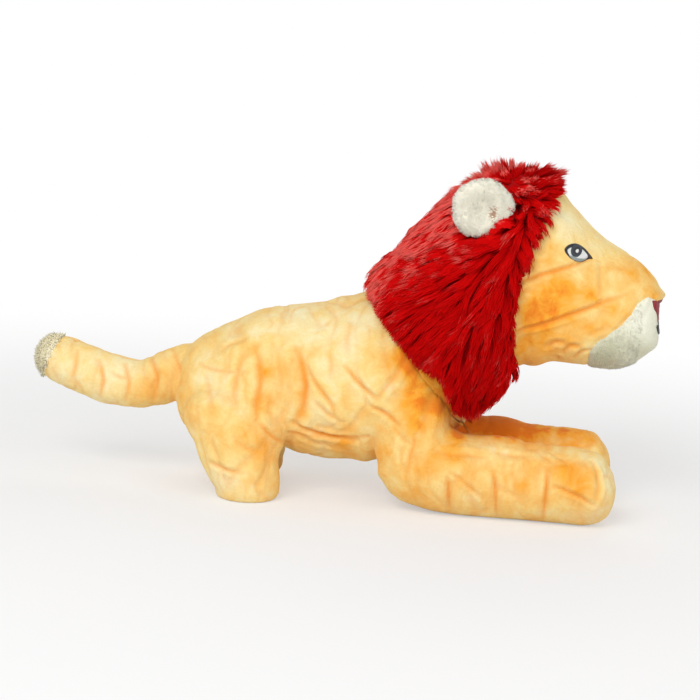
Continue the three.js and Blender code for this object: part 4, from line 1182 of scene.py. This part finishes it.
STRAND_LENGTH = 25.0
STEPS = 5
NO_LIMIT = 50.0
TUFT_SEEDS = at_full(26000)
TUFT_SPACING = at_full(3.9)
STRANDS_PER_TUFT = at_full(24)
PILE_OBJECTS = at_full(7)
LENGTHS_ALONG = [0, 0.12, 0.3, 0.8, 0.9, 1], [0.42, 0.7, 1, 1, 0.6, 0.34]
TUFT_LIFTS = [0, 3.2, 4.8, 5.2, 4.6]
FORELOCK_WAY = np.array([1.0, 0, 0.16])


def ended(paths, ways, room, least):
    """Paths cut off where their room runs out, but for the least share of them."""
    out = np.ones(len(paths))
    for step in range(1, STEPS):
        crossed = (room[:, step] < 0) & (out == 1)
        before = np.maximum(room[:, step - 1], 0.01)
        drop = np.maximum(before - room[:, step], 0.01)
        out = np.where(crossed, (step - 1 + before / drop) / (STEPS - 1), out)
    out = np.maximum(out, least)
    place = np.linspace(0, 1, STEPS)[None, :] * out[:, None] * (STEPS - 1)
    low = np.minimum(place.astype(int), STEPS - 2)
    w = (place - low)[:, :, None]
    row = np.arange(len(paths))[:, None]
    return paths[row, low] * (1 - w) + paths[row, low + 1] * w, ways[row, low]


def rear_room(paths):
    return np.where(paths[:, :, 2] < 130, -past_line(paths, MANE_REAR_EDGE) * PIXEL_MM, NO_LIMIT)


def within_low_edges(paths, ways, rng):
    """Strands near the mane's lower rear and lower front edge end close to it."""
    ahead = np.where(paths[:, :, 2] < 84, past_line(paths, MANE_EDGE) * PIXEL_MM, NO_LIMIT)
    room = np.minimum(rear_room(paths), ahead) + (2.6 * rng.random(len(paths)) ** 2)[:, None]
    return ended(paths, ways, room, 0.06)


def forelock_share(roots):
    """How much a root belongs to the tuft that stands out over the forehead."""
    share = np.clip((roots[:, 0] - 105) / 9, 0, 1) * np.clip((roots[:, 2] - 182) / 9, 0, 1)
    return share * np.exp(-((roots[:, 1] / 24) ** 2))


def shortened(paths, ways, rng):
    """The tufts end where the mane does: a little past the neck seam and past the edge at the face."""
    count = len(paths)
    spill = 1.0 + 6.0 * rng.random(count) ** 2 + 5 * np.clip((paths[:, 0, 2] - 165) / 30, 0, 1)
    spill += 14 * forelock_share(paths[:, 0])
    spill *= np.interp(paths[:, 0, 2], [70, 90], [0.3, 1.0])
    room = np.minimum((paths - NECK) @ NECK_NORMAL, rear_room(paths))
    room = room + (1.0 + 3.0 * rng.random(count))[:, None]
    room = np.minimum(room, past_line(paths, MANE_EDGE) * PIXEL_MM + spill[:, None])
    return ended(paths, ways, room, 0.22)


def upright_tufts(roots, normals, lengths, rng):
    """How much each tuft stands up at the crown or forelock, how ragged it is, its way and its height."""
    forelock = forelock_share(roots)
    crown = np.clip((normals[:, 2] - 0.35) / 0.35, 0, 1) * np.clip((roots[:, 0] - 72) / 12, 0, 1)
    crown = np.maximum(crown, forelock)
    ragged = (0.7 + 0.4 * rng.random(len(roots))) * (1 + 0.3 * crown)
    stand = (normals * 0.85 + flow_at(roots) * 0.55) * (1 - forelock)[:, None]
    stand = stand + FORELOCK_WAY * forelock[:, None] + normals * (0.12 * forelock)[:, None]
    stand = normalised(stand + rng.normal(0, 0.22, roots.shape) * (1 - 0.55 * forelock)[:, None])
    dip = 0.4 * np.exp(-(((roots[:, 0] - 106) / 9) ** 2))
    return crown, ragged, stand, lengths * 0.62 * (1 - dip * (1 - forelock)) * (1 + 0.9 * forelock)


def grow_guides(roots, normals, lengths, ground, rng):
    """Paths of the tufts: they rise from the backing and lie down along the flow, over what is under them."""
    paths = np.empty((len(roots), STEPS, 3))
    ways = np.empty((len(roots), STEPS, 3))
    paths[:, 0], ways[:, 0] = roots, normals
    turn = 0.55 * soft_noise(roots, 16, 21) + 0.35 * soft_noise(roots, 6, 22)
    crown, ragged, stand, tall = upright_tufts(roots, normals, lengths, rng)
    under = np.clip(-(normals[:, 2] + 0.25) / 0.4, 0, 1)
    hover = 2.5 + 14 * under
    stopped = np.zeros(len(roots), bool)
    here, normal, last = roots.copy(), normals.copy(), roots - normals
    for step in range(1, STEPS):
        free = flow_at(here)
        flow = normalised(free - normal * np.sum(free * normal, 1, keepdims=True))
        across = np.cross(normal, flow)
        wave = turn + 0.3 * np.sin(step * 1.3 + 6 * turn)
        way = normalised(flow * np.cos(wave)[:, None] + across * np.sin(wave)[:, None])
        way = normalised(way * (1 - under)[:, None] + free * (1.2 * under)[:, None])
        stride = lengths / (STEPS - 1) * (0.72 if step == 1 else 1.0)
        ahead = here + way * stride[:, None]
        near, fresh = np.empty_like(ahead), np.empty_like(ahead)
        for k, point in enumerate(ahead):
            near[k], fresh[k], _, _ = ground.find_nearest(Vector(point))
        height = np.sum((ahead - near) * fresh, 1)
        hovering = ahead + fresh * (np.minimum(hover, height) - height)[:, None]
        here = np.where(height[:, None] > 0, hovering, near)
        normal = normalised(normal * 0.45 + fresh * 0.55)
        lying = here + normal * (TUFT_LIFTS[step] * ragged)[:, None]
        upright = roots + stand * (tall * step / (STEPS - 1))[:, None]
        top = lying * (1 - crown)[:, None] + upright * crown[:, None]
        before = paths[:, step - 1]
        stopped |= inside_ear(top, 1.2) | inside_ear((top + before) / 2, 1.2)
        paths[:, step] = np.where(stopped[:, None], before + normalised(before - last) * 0.4, top)
        ways[:, step] = normal
        last = before
    return shortened(paths, ways, rng)


def tubes(paths, ways, widths, taper):
    """Three-sided tapering strands along paths: points, quads, tris, and how far along each point lies."""
    count, steps, _ = paths.shape
    rings = steps - 1
    side = normalised(np.cross(normalised(np.gradient(paths, axis=1)), ways))
    out = np.cross(side, normalised(np.gradient(paths, axis=1)))
    points = np.empty((count, rings * 3 + 1, 3))
    for ring in range(rings):
        radius = (widths * taper[ring])[:, None] / 2
        for corner in range(3):
            angle = 2 * np.pi * corner / 3 + np.pi / 2
            off = side[:, ring] * math.cos(angle) + out[:, ring] * math.sin(angle)
            points[:, ring * 3 + corner] = paths[:, ring] + off * radius
    points[:, -1] = paths[:, -1]
    base = (np.arange(count) * (rings * 3 + 1))[:, None]
    quads, tris = [], []
    for ring in range(rings):
        for corner in range(3):
            a, b = ring * 3 + corner, ring * 3 + (corner + 1) % 3
            if ring < rings - 1:
                quads.append(np.concatenate([base + a, base + a + 3, base + b + 3, base + b], 1))
            else:
                tris.append(np.concatenate([base + a, base + rings * 3, base + b], 1))
    along = np.concatenate([np.repeat(np.arange(rings) / rings, 3), [1.0]])
    return points.reshape(-1, 3), np.concatenate(quads), np.concatenate(tris), np.tile(along, count)


def strands_object(name, paths, ways, widths, taper, tones, strand_cloth, body, softness):
    """Strands as one mesh. Softness turns their normals towards the skin's, as pile lying close shades."""
    points, quads, tris, along = tubes(paths, ways, widths, taper)
    per = paths.shape[1] * 3 - 2
    made = new_object(name, points, quads, tris, strand_cloth, along=along, tone=np.repeat(tones, per))
    own = np.empty(len(points) * 3, np.float32)
    made.data.vertices.foreach_get("normal", own)
    skin = np.repeat(normalised(ways), 3, axis=1)[:, :per].reshape(-1, 3)
    blend = normalised(own.reshape(-1, 3) * (1 - softness) + skin * softness)
    made.data.normals_split_custom_set_from_vertices(blend.tolist())
    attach(made, body)


def ground_of_tufts():
    """A tree of what the tufts lie down on: the backing, and the head and body where they show beside it."""
    points = np.vstack([mane_points, head_points, body_points])
    body_start = len(mane_points) + len(head_points)
    faces = np.vstack([mane_faces, head_faces + len(mane_points), body_faces + body_start])
    middle = points[faces].mean(1)
    hidden = np.zeros(len(faces), bool)
    for k in range(len(mane_faces), len(faces)):
        if 5 < middle[k, 0] < 150:
            near, way, _, _ = mane_tree.find_nearest(Vector(middle[k]))
            off = Vector(middle[k]) - near
            hidden[k] = off.dot(way) < 0 and off.length < 30
    return tree_of(points, faces[~hidden])


def lit_share(points):
    """Painted light on the pile: most at the mane's upper rear edge, and less along its middle."""
    pixels = near_side_pixels(points)
    edge = (pixels[:, 0] - 372) * 0.62 + (pixels[:, 1] - 262) * 0.78
    top = np.exp(-((np.clip(pixels[:, 1] - 160, 0, None) / 22) ** 2))
    aside = 0.5 + 0.5 * np.clip(np.abs(points[:, 1]) / 32, 0, 1)
    return aside * np.exp(-((np.clip(edge, 0, None) / 36) ** 2)) + 0.1 * top


def build_guides(rng):
    """The tufts' roots, their paths and the ways out of the skin along them."""
    seeds, normals, faces = sampled(mane_points, mane_faces, TUFT_SEEDS, rng)
    outside = ~inside_ear(seeds, -1.0) & within_edges(seeds, 3, 130, 2, 3.0) & (seeds[:, 2] > 3)
    low = np.where(seeds[:, 2] < 100)[0]
    outside[low] &= signed_distances(body_tree, seeds[low])[0] > 0.3
    seeds, normals, faces = seeds[outside], normals[outside], faces[outside]
    kept = spread(seeds, TUFT_SPACING)
    roots = seeds[kept]
    lengths = STRAND_LENGTH * (0.8 + 0.4 * rng.random(len(roots)))
    lengths *= np.interp(mane_along[mane_faces[faces[kept], 0]], *LENGTHS_ALONG)
    lengths *= np.where(roots[:, 2] > 195, 0.75, 1.0)
    lengths *= np.interp(roots[:, 2], [50, 75], [0.6, 1.0])
    return roots, *grow_guides(roots, normals[kept], lengths, ground_of_tufts(), rng)


def strand_roots_near(roots, rng):
    """Where the strands stand, and the tuft that each belongs to."""
    tree = KDTree(len(roots))
    for k, root in enumerate(roots):
        tree.insert(Vector(root), k)
    tree.balance()
    count = int(len(roots) * STRANDS_PER_TUFT * 1.25)
    weight = 1 + 2 * beside_ear_edge(mane_points[mane_faces].mean(1))
    extra, _, _ = sampled(mane_points, mane_faces, count, rng, weight)
    found = [tree.find(Vector(point)) for point in extra]
    near = np.array([away < TUFT_SPACING * 1.3 for _, _, away in found])
    return extra[near], np.array([k for _, k, _ in found])[near]


def build_mane(rng):
    roots, guides, guide_ways = build_guides(rng)
    stands, tufts = strand_roots_near(roots, rng)
    count = len(stands)
    shares = np.linspace(0, 1, STEPS)
    tight = (0.2 + 0.45 * rng.random(count))[:, None]
    gather = 1 - tight * shares[None, :] ** 0.8
    reach = 0.82 + 0.25 * rng.random(count)
    paths = np.empty((count, STEPS, 3))
    for step, share in enumerate(shares):
        place = np.clip(share * reach, 0, 1) * (STEPS - 1)
        low = np.minimum(place.astype(int), STEPS - 2)
        w = (place - low)[:, None]
        paths[:, step] = guides[tufts, low] * (1 - w) + guides[tufts, low + 1] * w
        beyond = np.clip(share * reach - 1, 0, 1)[:, None]
        paths[:, step] += beyond * (guides[tufts, -1] - guides[tufts, -2]) * (STEPS - 1)
    paths += (stands - roots[tufts])[:, None, :] * gather[:, :, None]
    frizz = rng.normal(0, 1, (count, 1, 3)) * 0.5 + np.cumsum(rng.normal(0, 1, (count, STEPS, 3)) * 0.3, 1)
    paths += frizz * shares[None, :, None]
    paths = over_ear_edge(paths.reshape(-1, 3), np.tile(shares, count)).reshape(count, STEPS, 3)
    paths, ways = within_low_edges(paths, guide_ways[tufts], rng)
    widths = 0.45 + 0.3 * rng.random(count)
    tones = 0.32 + 0.15 * rng.normal(0, 1, len(roots))[tufts] + 0.06 * rng.normal(0, 1, count)
    # Tones differ at random by tuft and strand, and the painted light from lit_share makes them paler.
    tones = np.clip(np.clip(tones, 0, 0.56) + lit_share(stands), 0, 1.5)
    taper = np.array([0.95, 1.05, 0.95, 0.7])
    wedge = np.arctan2(stands[:, 1], stands[:, 2] - 120)
    for number, group in enumerate(np.array_split(np.argsort(wedge, kind="stable"), PILE_OBJECTS)):
        strands_object(
            f"mane_pile_{number + 1}", paths[group], ways[group], widths[group], taper, tones[group],
            MANE_STRANDS, "head", 0.6,
        )


build_mane(np.random.default_rng(SEED))


# Ears: round dished pads with fuzz
EAR_DISH = 4.2
EAR_DRAWN_IN_FROM = 12.5
EAR_FUZZ_COUNT = at_full(5200)
FUZZ_TAPER = np.array([1.0, 0.9])
FUZZ_SOFTNESS = 0.95


def ear_skin(rings=26, sides=72):
    """A round pad with a dished front, flat about its middle. The edge under the mane is drawn in."""
    angle = np.arange(sides) * 2 * np.pi / sides
    rise = np.concatenate([[0.03], np.linspace(0, np.pi, rings + 1)[1:-1], [np.pi - 0.03]])
    r = EAR["radius"] - 2.4
    t = EAR["half_thickness"] - 1.2
    radial = np.sin(rise)[:, None] * np.ones(sides)[None, :]
    wander = 1 + 0.035 * np.sin(2 * angle + 0.9) + 0.02 * np.sin(5 * angle + 2)
    x, y = r * radial * np.cos(angle) * wander, r * radial * np.sin(angle) * wander
    z = t * np.cos(rise)[:, None] * np.ones(sides)[None, :]
    z = np.where(z > 0, z - np.exp(-((radial * r / (EAR["dish_radius"] * 0.72)) ** 2)) * EAR_DISH, z)
    draw_in = np.clip(x * EAR_COVER_WAY[0] + y * EAR_COVER_WAY[1] - EAR_DRAWN_IN_FROM, 0, None) * 0.5
    x, y = x - draw_in * EAR_COVER_WAY[0], y - draw_in * EAR_COVER_WAY[1]
    return closed_grid(np.stack([x, y, z], -1), [[0, 0, t - EAR_DISH], [0, 0, -t]])


def ear_hollow(local, half_width, half_height):
    """How deep in the ear's fold points of its flat drawing lie, from 0 to 1; the fold gets painted shade."""
    away = ((local[:, 0] - 5.6) / half_width) ** 2 + ((local[:, 1] - 1.8) / half_height) ** 2
    return np.exp(-away) * (local[:, 2] > -1)


def build_ear(hand, rng):
    flat, quads, tris = ear_skin()
    placed = ear_placed(flat, hand)
    quads, tris = oriented(placed, quads, tris, placed.mean(0))
    fold = ear_hollow(flat, 2.0, 3.8)
    # Painted shade in the ear's hollow fold.
    deep, crease = np.clip(fold * 2, 0, 1), np.clip(fold * 1.2, 0, 1)
    made = new_object(f"ear_pad_{hand}", placed, quads, tris, EAR_PILE, deep=deep, crease=crease)
    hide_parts(f"ear_back_{hand}", f"ear_lining_{hand}")
    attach(made, f"ear_{hand}")
    roots, normals, _ = sampled(placed, quads, EAR_FUZZ_COUNT, rng)
    local = ear_local(roots, hand)
    covered = (local[:, :2] @ EAR_COVER_WAY > EAR_DRAWN_IN_FROM) & (local[:, 2] > -2)
    thin = np.clip(ear_hollow(local, 1.9, 3.6) * 1.8 - 0.45, 0, 1)
    grown = (rng.random(len(roots)) > thin) & ~covered
    roots, normals, local = roots[grown], normals[grown], local[grown]
    count = len(roots)
    rim = normalised(local * [1, 1, 0]) @ EAR_STAND.T @ EAR_TURN.T * [1, side_of(hand), 1]
    rim_share = np.clip(np.linalg.norm(local[:, :2], axis=1) / EAR["radius"], 0, 1)
    length = 1.2 + 0.4 * rng.random(count) + 1.5 * rim_share**4
    length *= 1 + 0.8 * rim_share**3 * soft_noise(roots, 3.2, 61)
    lock = np.stack([soft_noise(roots, 3.0, 62 + k) for k in range(3)], 1)
    drift = normalised(rng.normal(0, 0.35, (count, 3)) + (0.25 + 1.2 * rim_share**3)[:, None] * lock)
    lean = normalised(normals * 0.7 + rim * 0.45 + drift * (0.35 + 0.35 * rim_share)[:, None])
    bend = normalised(lean + drift * 0.5 + np.array([0, 0, -0.2]))
    half = (length * 0.5)[:, None]
    paths = np.stack([roots - normals * 0.3, roots + lean * half, roots + lean * half + bend * half], 1)
    ways = np.repeat(normals[:, None, :], 3, 1) + drift[:, None, :] * 0.08
    tones = np.clip(0.55 + 0.15 * rng.normal(0, 1, count), 0, 1)
    widths = 0.6 + 0.3 * rng.random(count)
    strands_object(
        f"ear_fuzz_{hand}", paths, ways, widths, FUZZ_TAPER, tones, EAR_FUZZ, f"ear_{hand}",
        FUZZ_SOFTNESS,
    )


ear_rng = np.random.default_rng(SEED + 1)
for hand in ("left", "right"):
    build_ear(hand, ear_rng)


# Stitched eyes, nose and mouth: thin raised patches that follow the face
SUNK = 0.25
EYE_LID = [
    (564, 249.5), (567, 245.5), (573, 242.8), (579, 243.5), (585, 247.5), (590, 253), (594.5, 259.5),
    (590, 258.8), (586, 260.5), (581, 262.6), (575, 261.5), (569.5, 257.5), (566, 253.5),
]
EYE_WHITE = [
    (566.0, 250.5), (569.0, 247.5), (574, 246.2), (580, 247.0), (585, 251.0), (589.5, 256.6),
    (586, 259.4), (581.0, 261.8), (575.5, 260.9), (570, 257.3),
]
EYE_GREY = [
    (568.5, 255.0), (572.5, 257.5), (577, 259.0), (582, 259.4), (586, 257.8), (586.6, 259.2),
    (581.0, 261.9), (575.5, 261.0), (570, 257.5),
]
IRIS_CENTRE, GLINT_CENTRE = (576.2, 251.3), (576.4, 251.6)
NOSE_SIDE = [(656, 301), (652.5, 300), (652.8, 304), (654.2, 309)]
NOSE_LOWER = [(-13.2, 127.6), (-8.0, 123.8), (-3.4, 121.6), (3.4, 121.6), (8.0, 123.8), (13.2, 127.6)]
MOUTH_LINE = [(0, 122.4), (0, 118)]
LIP_LINE = [
    (-12.5, 120.6), (-10.8, 117.9), (-7.6, 115.8), (-3.8, 116.0), (0, 118.4), (3.8, 116.0), (7.6, 115.8),
    (10.8, 117.9), (12.5, 120.6),
]


def raised(place, level, side=None):
    """A point over the head's skin at (across, up): across is y at the front and x at a side."""
    if side is None:
        origin, way = Vector((260, place[0], place[1])), Vector((-1, 0, 0))
    else:
        origin, way = Vector((place[0], side * 120, place[1])), Vector((0, -side, 0))
    hit, normal, _, _ = head_tree.ray_cast(origin, way)
    return np.array(hit) + np.array(normal) * level


def stitching(name, points, quads, tris, thread, slot, replaced, side=None):
    inwards = np.array([40, 0, 0]) if side is None else np.array([0, side * 40, 0])
    quads, tris = oriented(points, quads, tris, points.mean(0) - inwards)
    made = new_object(name, points, quads, tris, thread)
    if replaced:
        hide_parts(*replaced)
    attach(made, "head")


def patch(name, outline, height, lift, thread, slot, replaced, side=None, rings=7):
    """A domed patch of stitching within an outline of (across, up)."""
    outline = np.asarray(outline, float)
    middle = outline.mean(0)
    count = len(outline)
    points = [raised(middle, lift + height, side)]
    quads = []
    for ring in range(1, rings + 1):
        share = ring / rings
        level = lift - SUNK if ring == rings else lift + height * math.sqrt(1 - share**4)
        points += [raised(middle + (corner - middle) * share, level, side) for corner in outline]
        if ring < rings:
            a = 1 + (ring - 1) * count + np.arange(count)
            b = a + count
            quads.append(np.stack([a, b, np.roll(b, -1), np.roll(a, -1)], -1))
    first = np.arange(count) + 1
    tris = np.stack([np.zeros(count, int), first, np.roll(first, -1)], -1)
    stitching(name, np.array(points), np.vstack(quads), tris, thread, slot, replaced, side)


def ribbon(name, line, width, height, lift, thread, slot, replaced, steps=40, rows=7):
    """A raised cord of stitching along a line of (across, up) on the front of the head."""
    line = np.asarray(line, float)
    place = np.linspace(0, len(line) - 1, steps)
    fine = smooth_line(np.stack([np.interp(place, np.arange(len(line)), line[:, k]) for k in (0, 1)], 1), 3)
    way = normalised(np.gradient(fine, axis=0))
    across = np.stack([-way[:, 1], way[:, 0]], 1)
    points = []
    for share in np.linspace(-1, 1, rows):
        level = lift + height * math.sqrt(max(0.0, 1 - share**2)) - (SUNK if abs(share) == 1 else 0)
        points += [raised(middle + side * share * width / 2, level) for middle, side in zip(fine, across)]
    index = np.arange(rows * steps).reshape(rows, steps)
    quads = np.stack([index[:-1, :-1], index[1:, :-1], index[1:, 1:], index[:-1, 1:]], -1).reshape(-1, 4)
    stitching(name, np.array(points), quads, NO_TRIS, thread, slot, replaced)


def seen_on_head(pixels):
    return np.array([seen_at(head_tree, pixel) for pixel in pixels])


def rounded(outline, rounds=2):
    for _ in range(rounds):
        after = np.roll(outline, -1, 0)
        outline = np.stack([outline * 0.75 + after * 0.25, outline * 0.25 + after * 0.75], 1).reshape(-1, 2)
    return outline


def circle(centre, radius, flat=1.0, count=28):
    angle = np.arange(count) * 2 * np.pi / count
    return np.stack([centre[0] + radius * np.cos(angle), centre[1] + radius * flat * np.sin(angle)], 1)


def build_eyes():
    outlines = [rounded(seen_on_head(outline)[:, [0, 2]]) for outline in (EYE_LID, EYE_WHITE, EYE_GREY)]
    lid, white, grey = outlines
    iris, glint = seen_on_head([IRIS_CENTRE, GLINT_CENTRE])[:, [0, 2]]
    layers = [
        ("eye_outline", lid, 0.45, 0.15, BLACK_THREAD, "black_thread", None),
        ("eye_white_patch", white, 0.35, 0.5, WHITE_THREAD, "white_thread", "eye_white"),
        ("eye_lower_shade", grey, 0.2, 0.82, GREY_THREAD, "white_thread", None),
        ("eye_dark_disc", circle(iris, 3.7, 1.02), 0.35, 0.85, IRIS_THREAD, "black_thread", "eye_iris"),
        ("eye_pupil_ring", circle(iris, 2.6), 0.3, 1.05, BLACK_THREAD, "black_thread", None),
        ("eye_highlight", circle(glint, 1.25, count=16), 0.3, 1.3, WHITE_THREAD, "white_thread", "eye_glint"),
    ]
    for hand in ("left", "right"):
        for name, outline, height, lift, thread, slot, node in layers:
            replaced = [f"{node}_{hand}"] if node else []
            patch(f"{name}_{hand}", outline, height, lift, thread, slot, replaced, side_of(hand))


def build_nose():
    side = seen_on_head(NOSE_SIDE)[:, 1:]
    outline = np.vstack([[(0, side[0, 1] + 0.8)], side, NOSE_LOWER, (side * [-1, 1])[::-1]])
    patch("nose_stitching", rounded(outline), 0.9, 0.3, NOSE_THREAD, "nose_thread", ["nose"])
    ribbon("mouth_centre", MOUTH_LINE, 2.0, 0.5, 0.25, BLACK_THREAD, "black_thread", ["mouth_stitching"])
    ribbon("mouth_curve", LIP_LINE, 2.2, 0.5, 0.25, BLACK_THREAD, "black_thread", [])


build_eyes()
build_nose()


# Fuzz that shows against the light, on the tail's tip and the muzzle
def build_fuzz(name, skin, count, length, width, spread_share, body, cloth, rng):
    roots, normals, _ = sampled(*skin, count, rng)
    drift = normalised(rng.normal(0, 1, (count, 3)))
    lean = normalised(normals + drift * spread_share)
    half = (length * (0.6 + 0.8 * rng.random(count)) * 0.5)[:, None]
    middle = roots + lean * half
    tip = middle + normalised(lean + drift * 0.5 + [0, 0, -0.3]) * half
    paths = np.stack([roots - normals * 0.3, middle, tip], 1)
    ways = np.repeat((normals + drift * 0.2)[:, None, :], 3, 1)
    tones = np.clip(0.5 + 0.22 * rng.normal(0, 1, count), 0, 1)
    widths = width * (0.8 + 0.4 * rng.random(count))
    strands_object(name, paths, ways, widths, FUZZ_TAPER, tones, cloth, body, FUZZ_SOFTNESS)


fuzz_rng = np.random.default_rng(SEED + 2)
tip_skin = taken(body_points, body_faces, tip_faces)[:2]
build_fuzz("tail_tip_fuzz", tip_skin, at_full(2000), 2.6, 0.55, 0.55, "tail", TIP_FUZZ, fuzz_rng)
muzzle_skin = taken(head_points, head_faces, muzzle_faces & (head_middle[:, 0] < 180))[:2]
build_fuzz("muzzle_fuzz", muzzle_skin, at_full(3600), 0.9, 0.3, 0.6, "head", MUZZLE_FUZZ, fuzz_rng)


# Floor, light and camera
FLOOR_WHITENS = dict(From_Min=0.22, From_Max=0.85, To_Min=0.45, To_Max=1.0)
WORLD_LIGHT = dict(Color=(1.0, 0.99, 0.97, 1), Strength=0.45)
WHITE = dict(Color=(1, 1, 1, 1), Strength=1.0)
LIGHT_TARGET = (0, 0, 0.09)
# Lights: name, place, side of the square and power
LIGHTS = [
    ("key", (-0.4, -1.35, 1.0), 0.9, 15.8),
    ("fill", (1.2, -0.9, 0.6), 1.0, 5.2),
    ("back", (0.1, 1.2, 0.9), 1.0, 4.5),
]


def added(name, data):
    made = bpy.data.objects.new(name, data)
    bpy.context.scene.collection.objects.link(made)
    return made


def seen_directly(shader):
    """1 for rays that the camera sees, straight, mirrored or through glass, and 0 for all other light."""
    path = shader.node("LightPath").outputs
    seen = shader.computed("MAXIMUM", path["Is Camera Ray"], path["Is Glossy Ray"])
    return shader.computed("MAXIMUM", seen, path["Is Transmission Ray"])


def build_floor():
    """A pale floor. It keeps the shadow close to the lion and turns white towards the backdrop."""
    corners = np.array([[-1, -1], [1, -1], [1, 1], [-1, 1]], float) * FLOOR_HALF
    floor = new_object("floor", np.hstack([corners, np.full((4, 1), -FLOOR_DROP)]), [[0, 1, 2, 3]])
    shader = new_shader("pale_floor")
    tone = shader.ramp(shader.grain(2.0, 2, 0.4), (0.35, (0.86, 0.86, 0.86)), (0.65, (0.89, 0.89, 0.89)))
    shader.surface(tone, Roughness=0.9, Specular_IOR_Level=0.1)
    length = shader.node("VectorMath", operation="LENGTH")
    shader.links.new(shader.node("TexCoord").outputs["Object"], length.inputs[0])
    reach = shader.node("MapRange", interpolation_type="SMOOTHSTEP", **FLOOR_WHITENS)
    shader.links.new(length.outputs["Value"], reach.inputs["Value"])
    mix = shader.node("MixShader")
    share = shader.computed("MULTIPLY", seen_directly(shader), reach.outputs["Result"])
    pale = shader.nodes["Principled BSDF"].outputs[0]
    shader.feed(mix.inputs, share, pale, shader.node("Emission", **WHITE).outputs[0])
    shader.links.new(mix.outputs[0], shader.nodes["Material Output"].inputs["Surface"])
    floor.data.materials.append(shader.owner)


def build_world():
    """Soft light from everywhere, with a white backdrop in the picture."""
    world = bpy.data.worlds.new("studio")
    bpy.context.scene.world = world
    shader = Shader(world)
    shader.nodes.clear()
    mix = shader.node("MixShader")
    light, backdrop = shader.node("Background", **WORLD_LIGHT), shader.node("Background", **WHITE)
    shader.feed(mix.inputs, seen_directly(shader), light.outputs[0], backdrop.outputs[0])
    shader.links.new(mix.outputs[0], shader.node("OutputWorld").inputs[0])


def build_lights():
    for name, place, size, power in LIGHTS:
        data = bpy.data.lights.new(name, "AREA")
        data.shape = "SQUARE"
        data.size = size
        data.energy = power
        made = added(name, data)
        made.location = place
        made.rotation_euler = (Vector(LIGHT_TARGET) - Vector(place)).to_track_quat("-Z", "Y").to_euler()


def build_camera():
    data = bpy.data.cameras.new("camera")
    data.sensor_width = SENSOR_MM
    data.sensor_fit = "HORIZONTAL"
    data.lens = SENSOR_MM * CAMERA["distance"] / (PICTURE_WIDTH * PIXEL_MM)
    data.clip_end = 50
    made = added("camera", data)
    turn = Matrix((RIGHT, UP, BACK)).transposed().to_4x4()
    made.matrix_world = Matrix.Translation(Vector(EYE * MM)) @ turn
    bpy.context.scene.camera = made


build_floor()
build_world()
build_lights()
build_camera()
bpy.context.scene.view_settings.view_transform = "Standard"

bpy.context.view_layer.update()
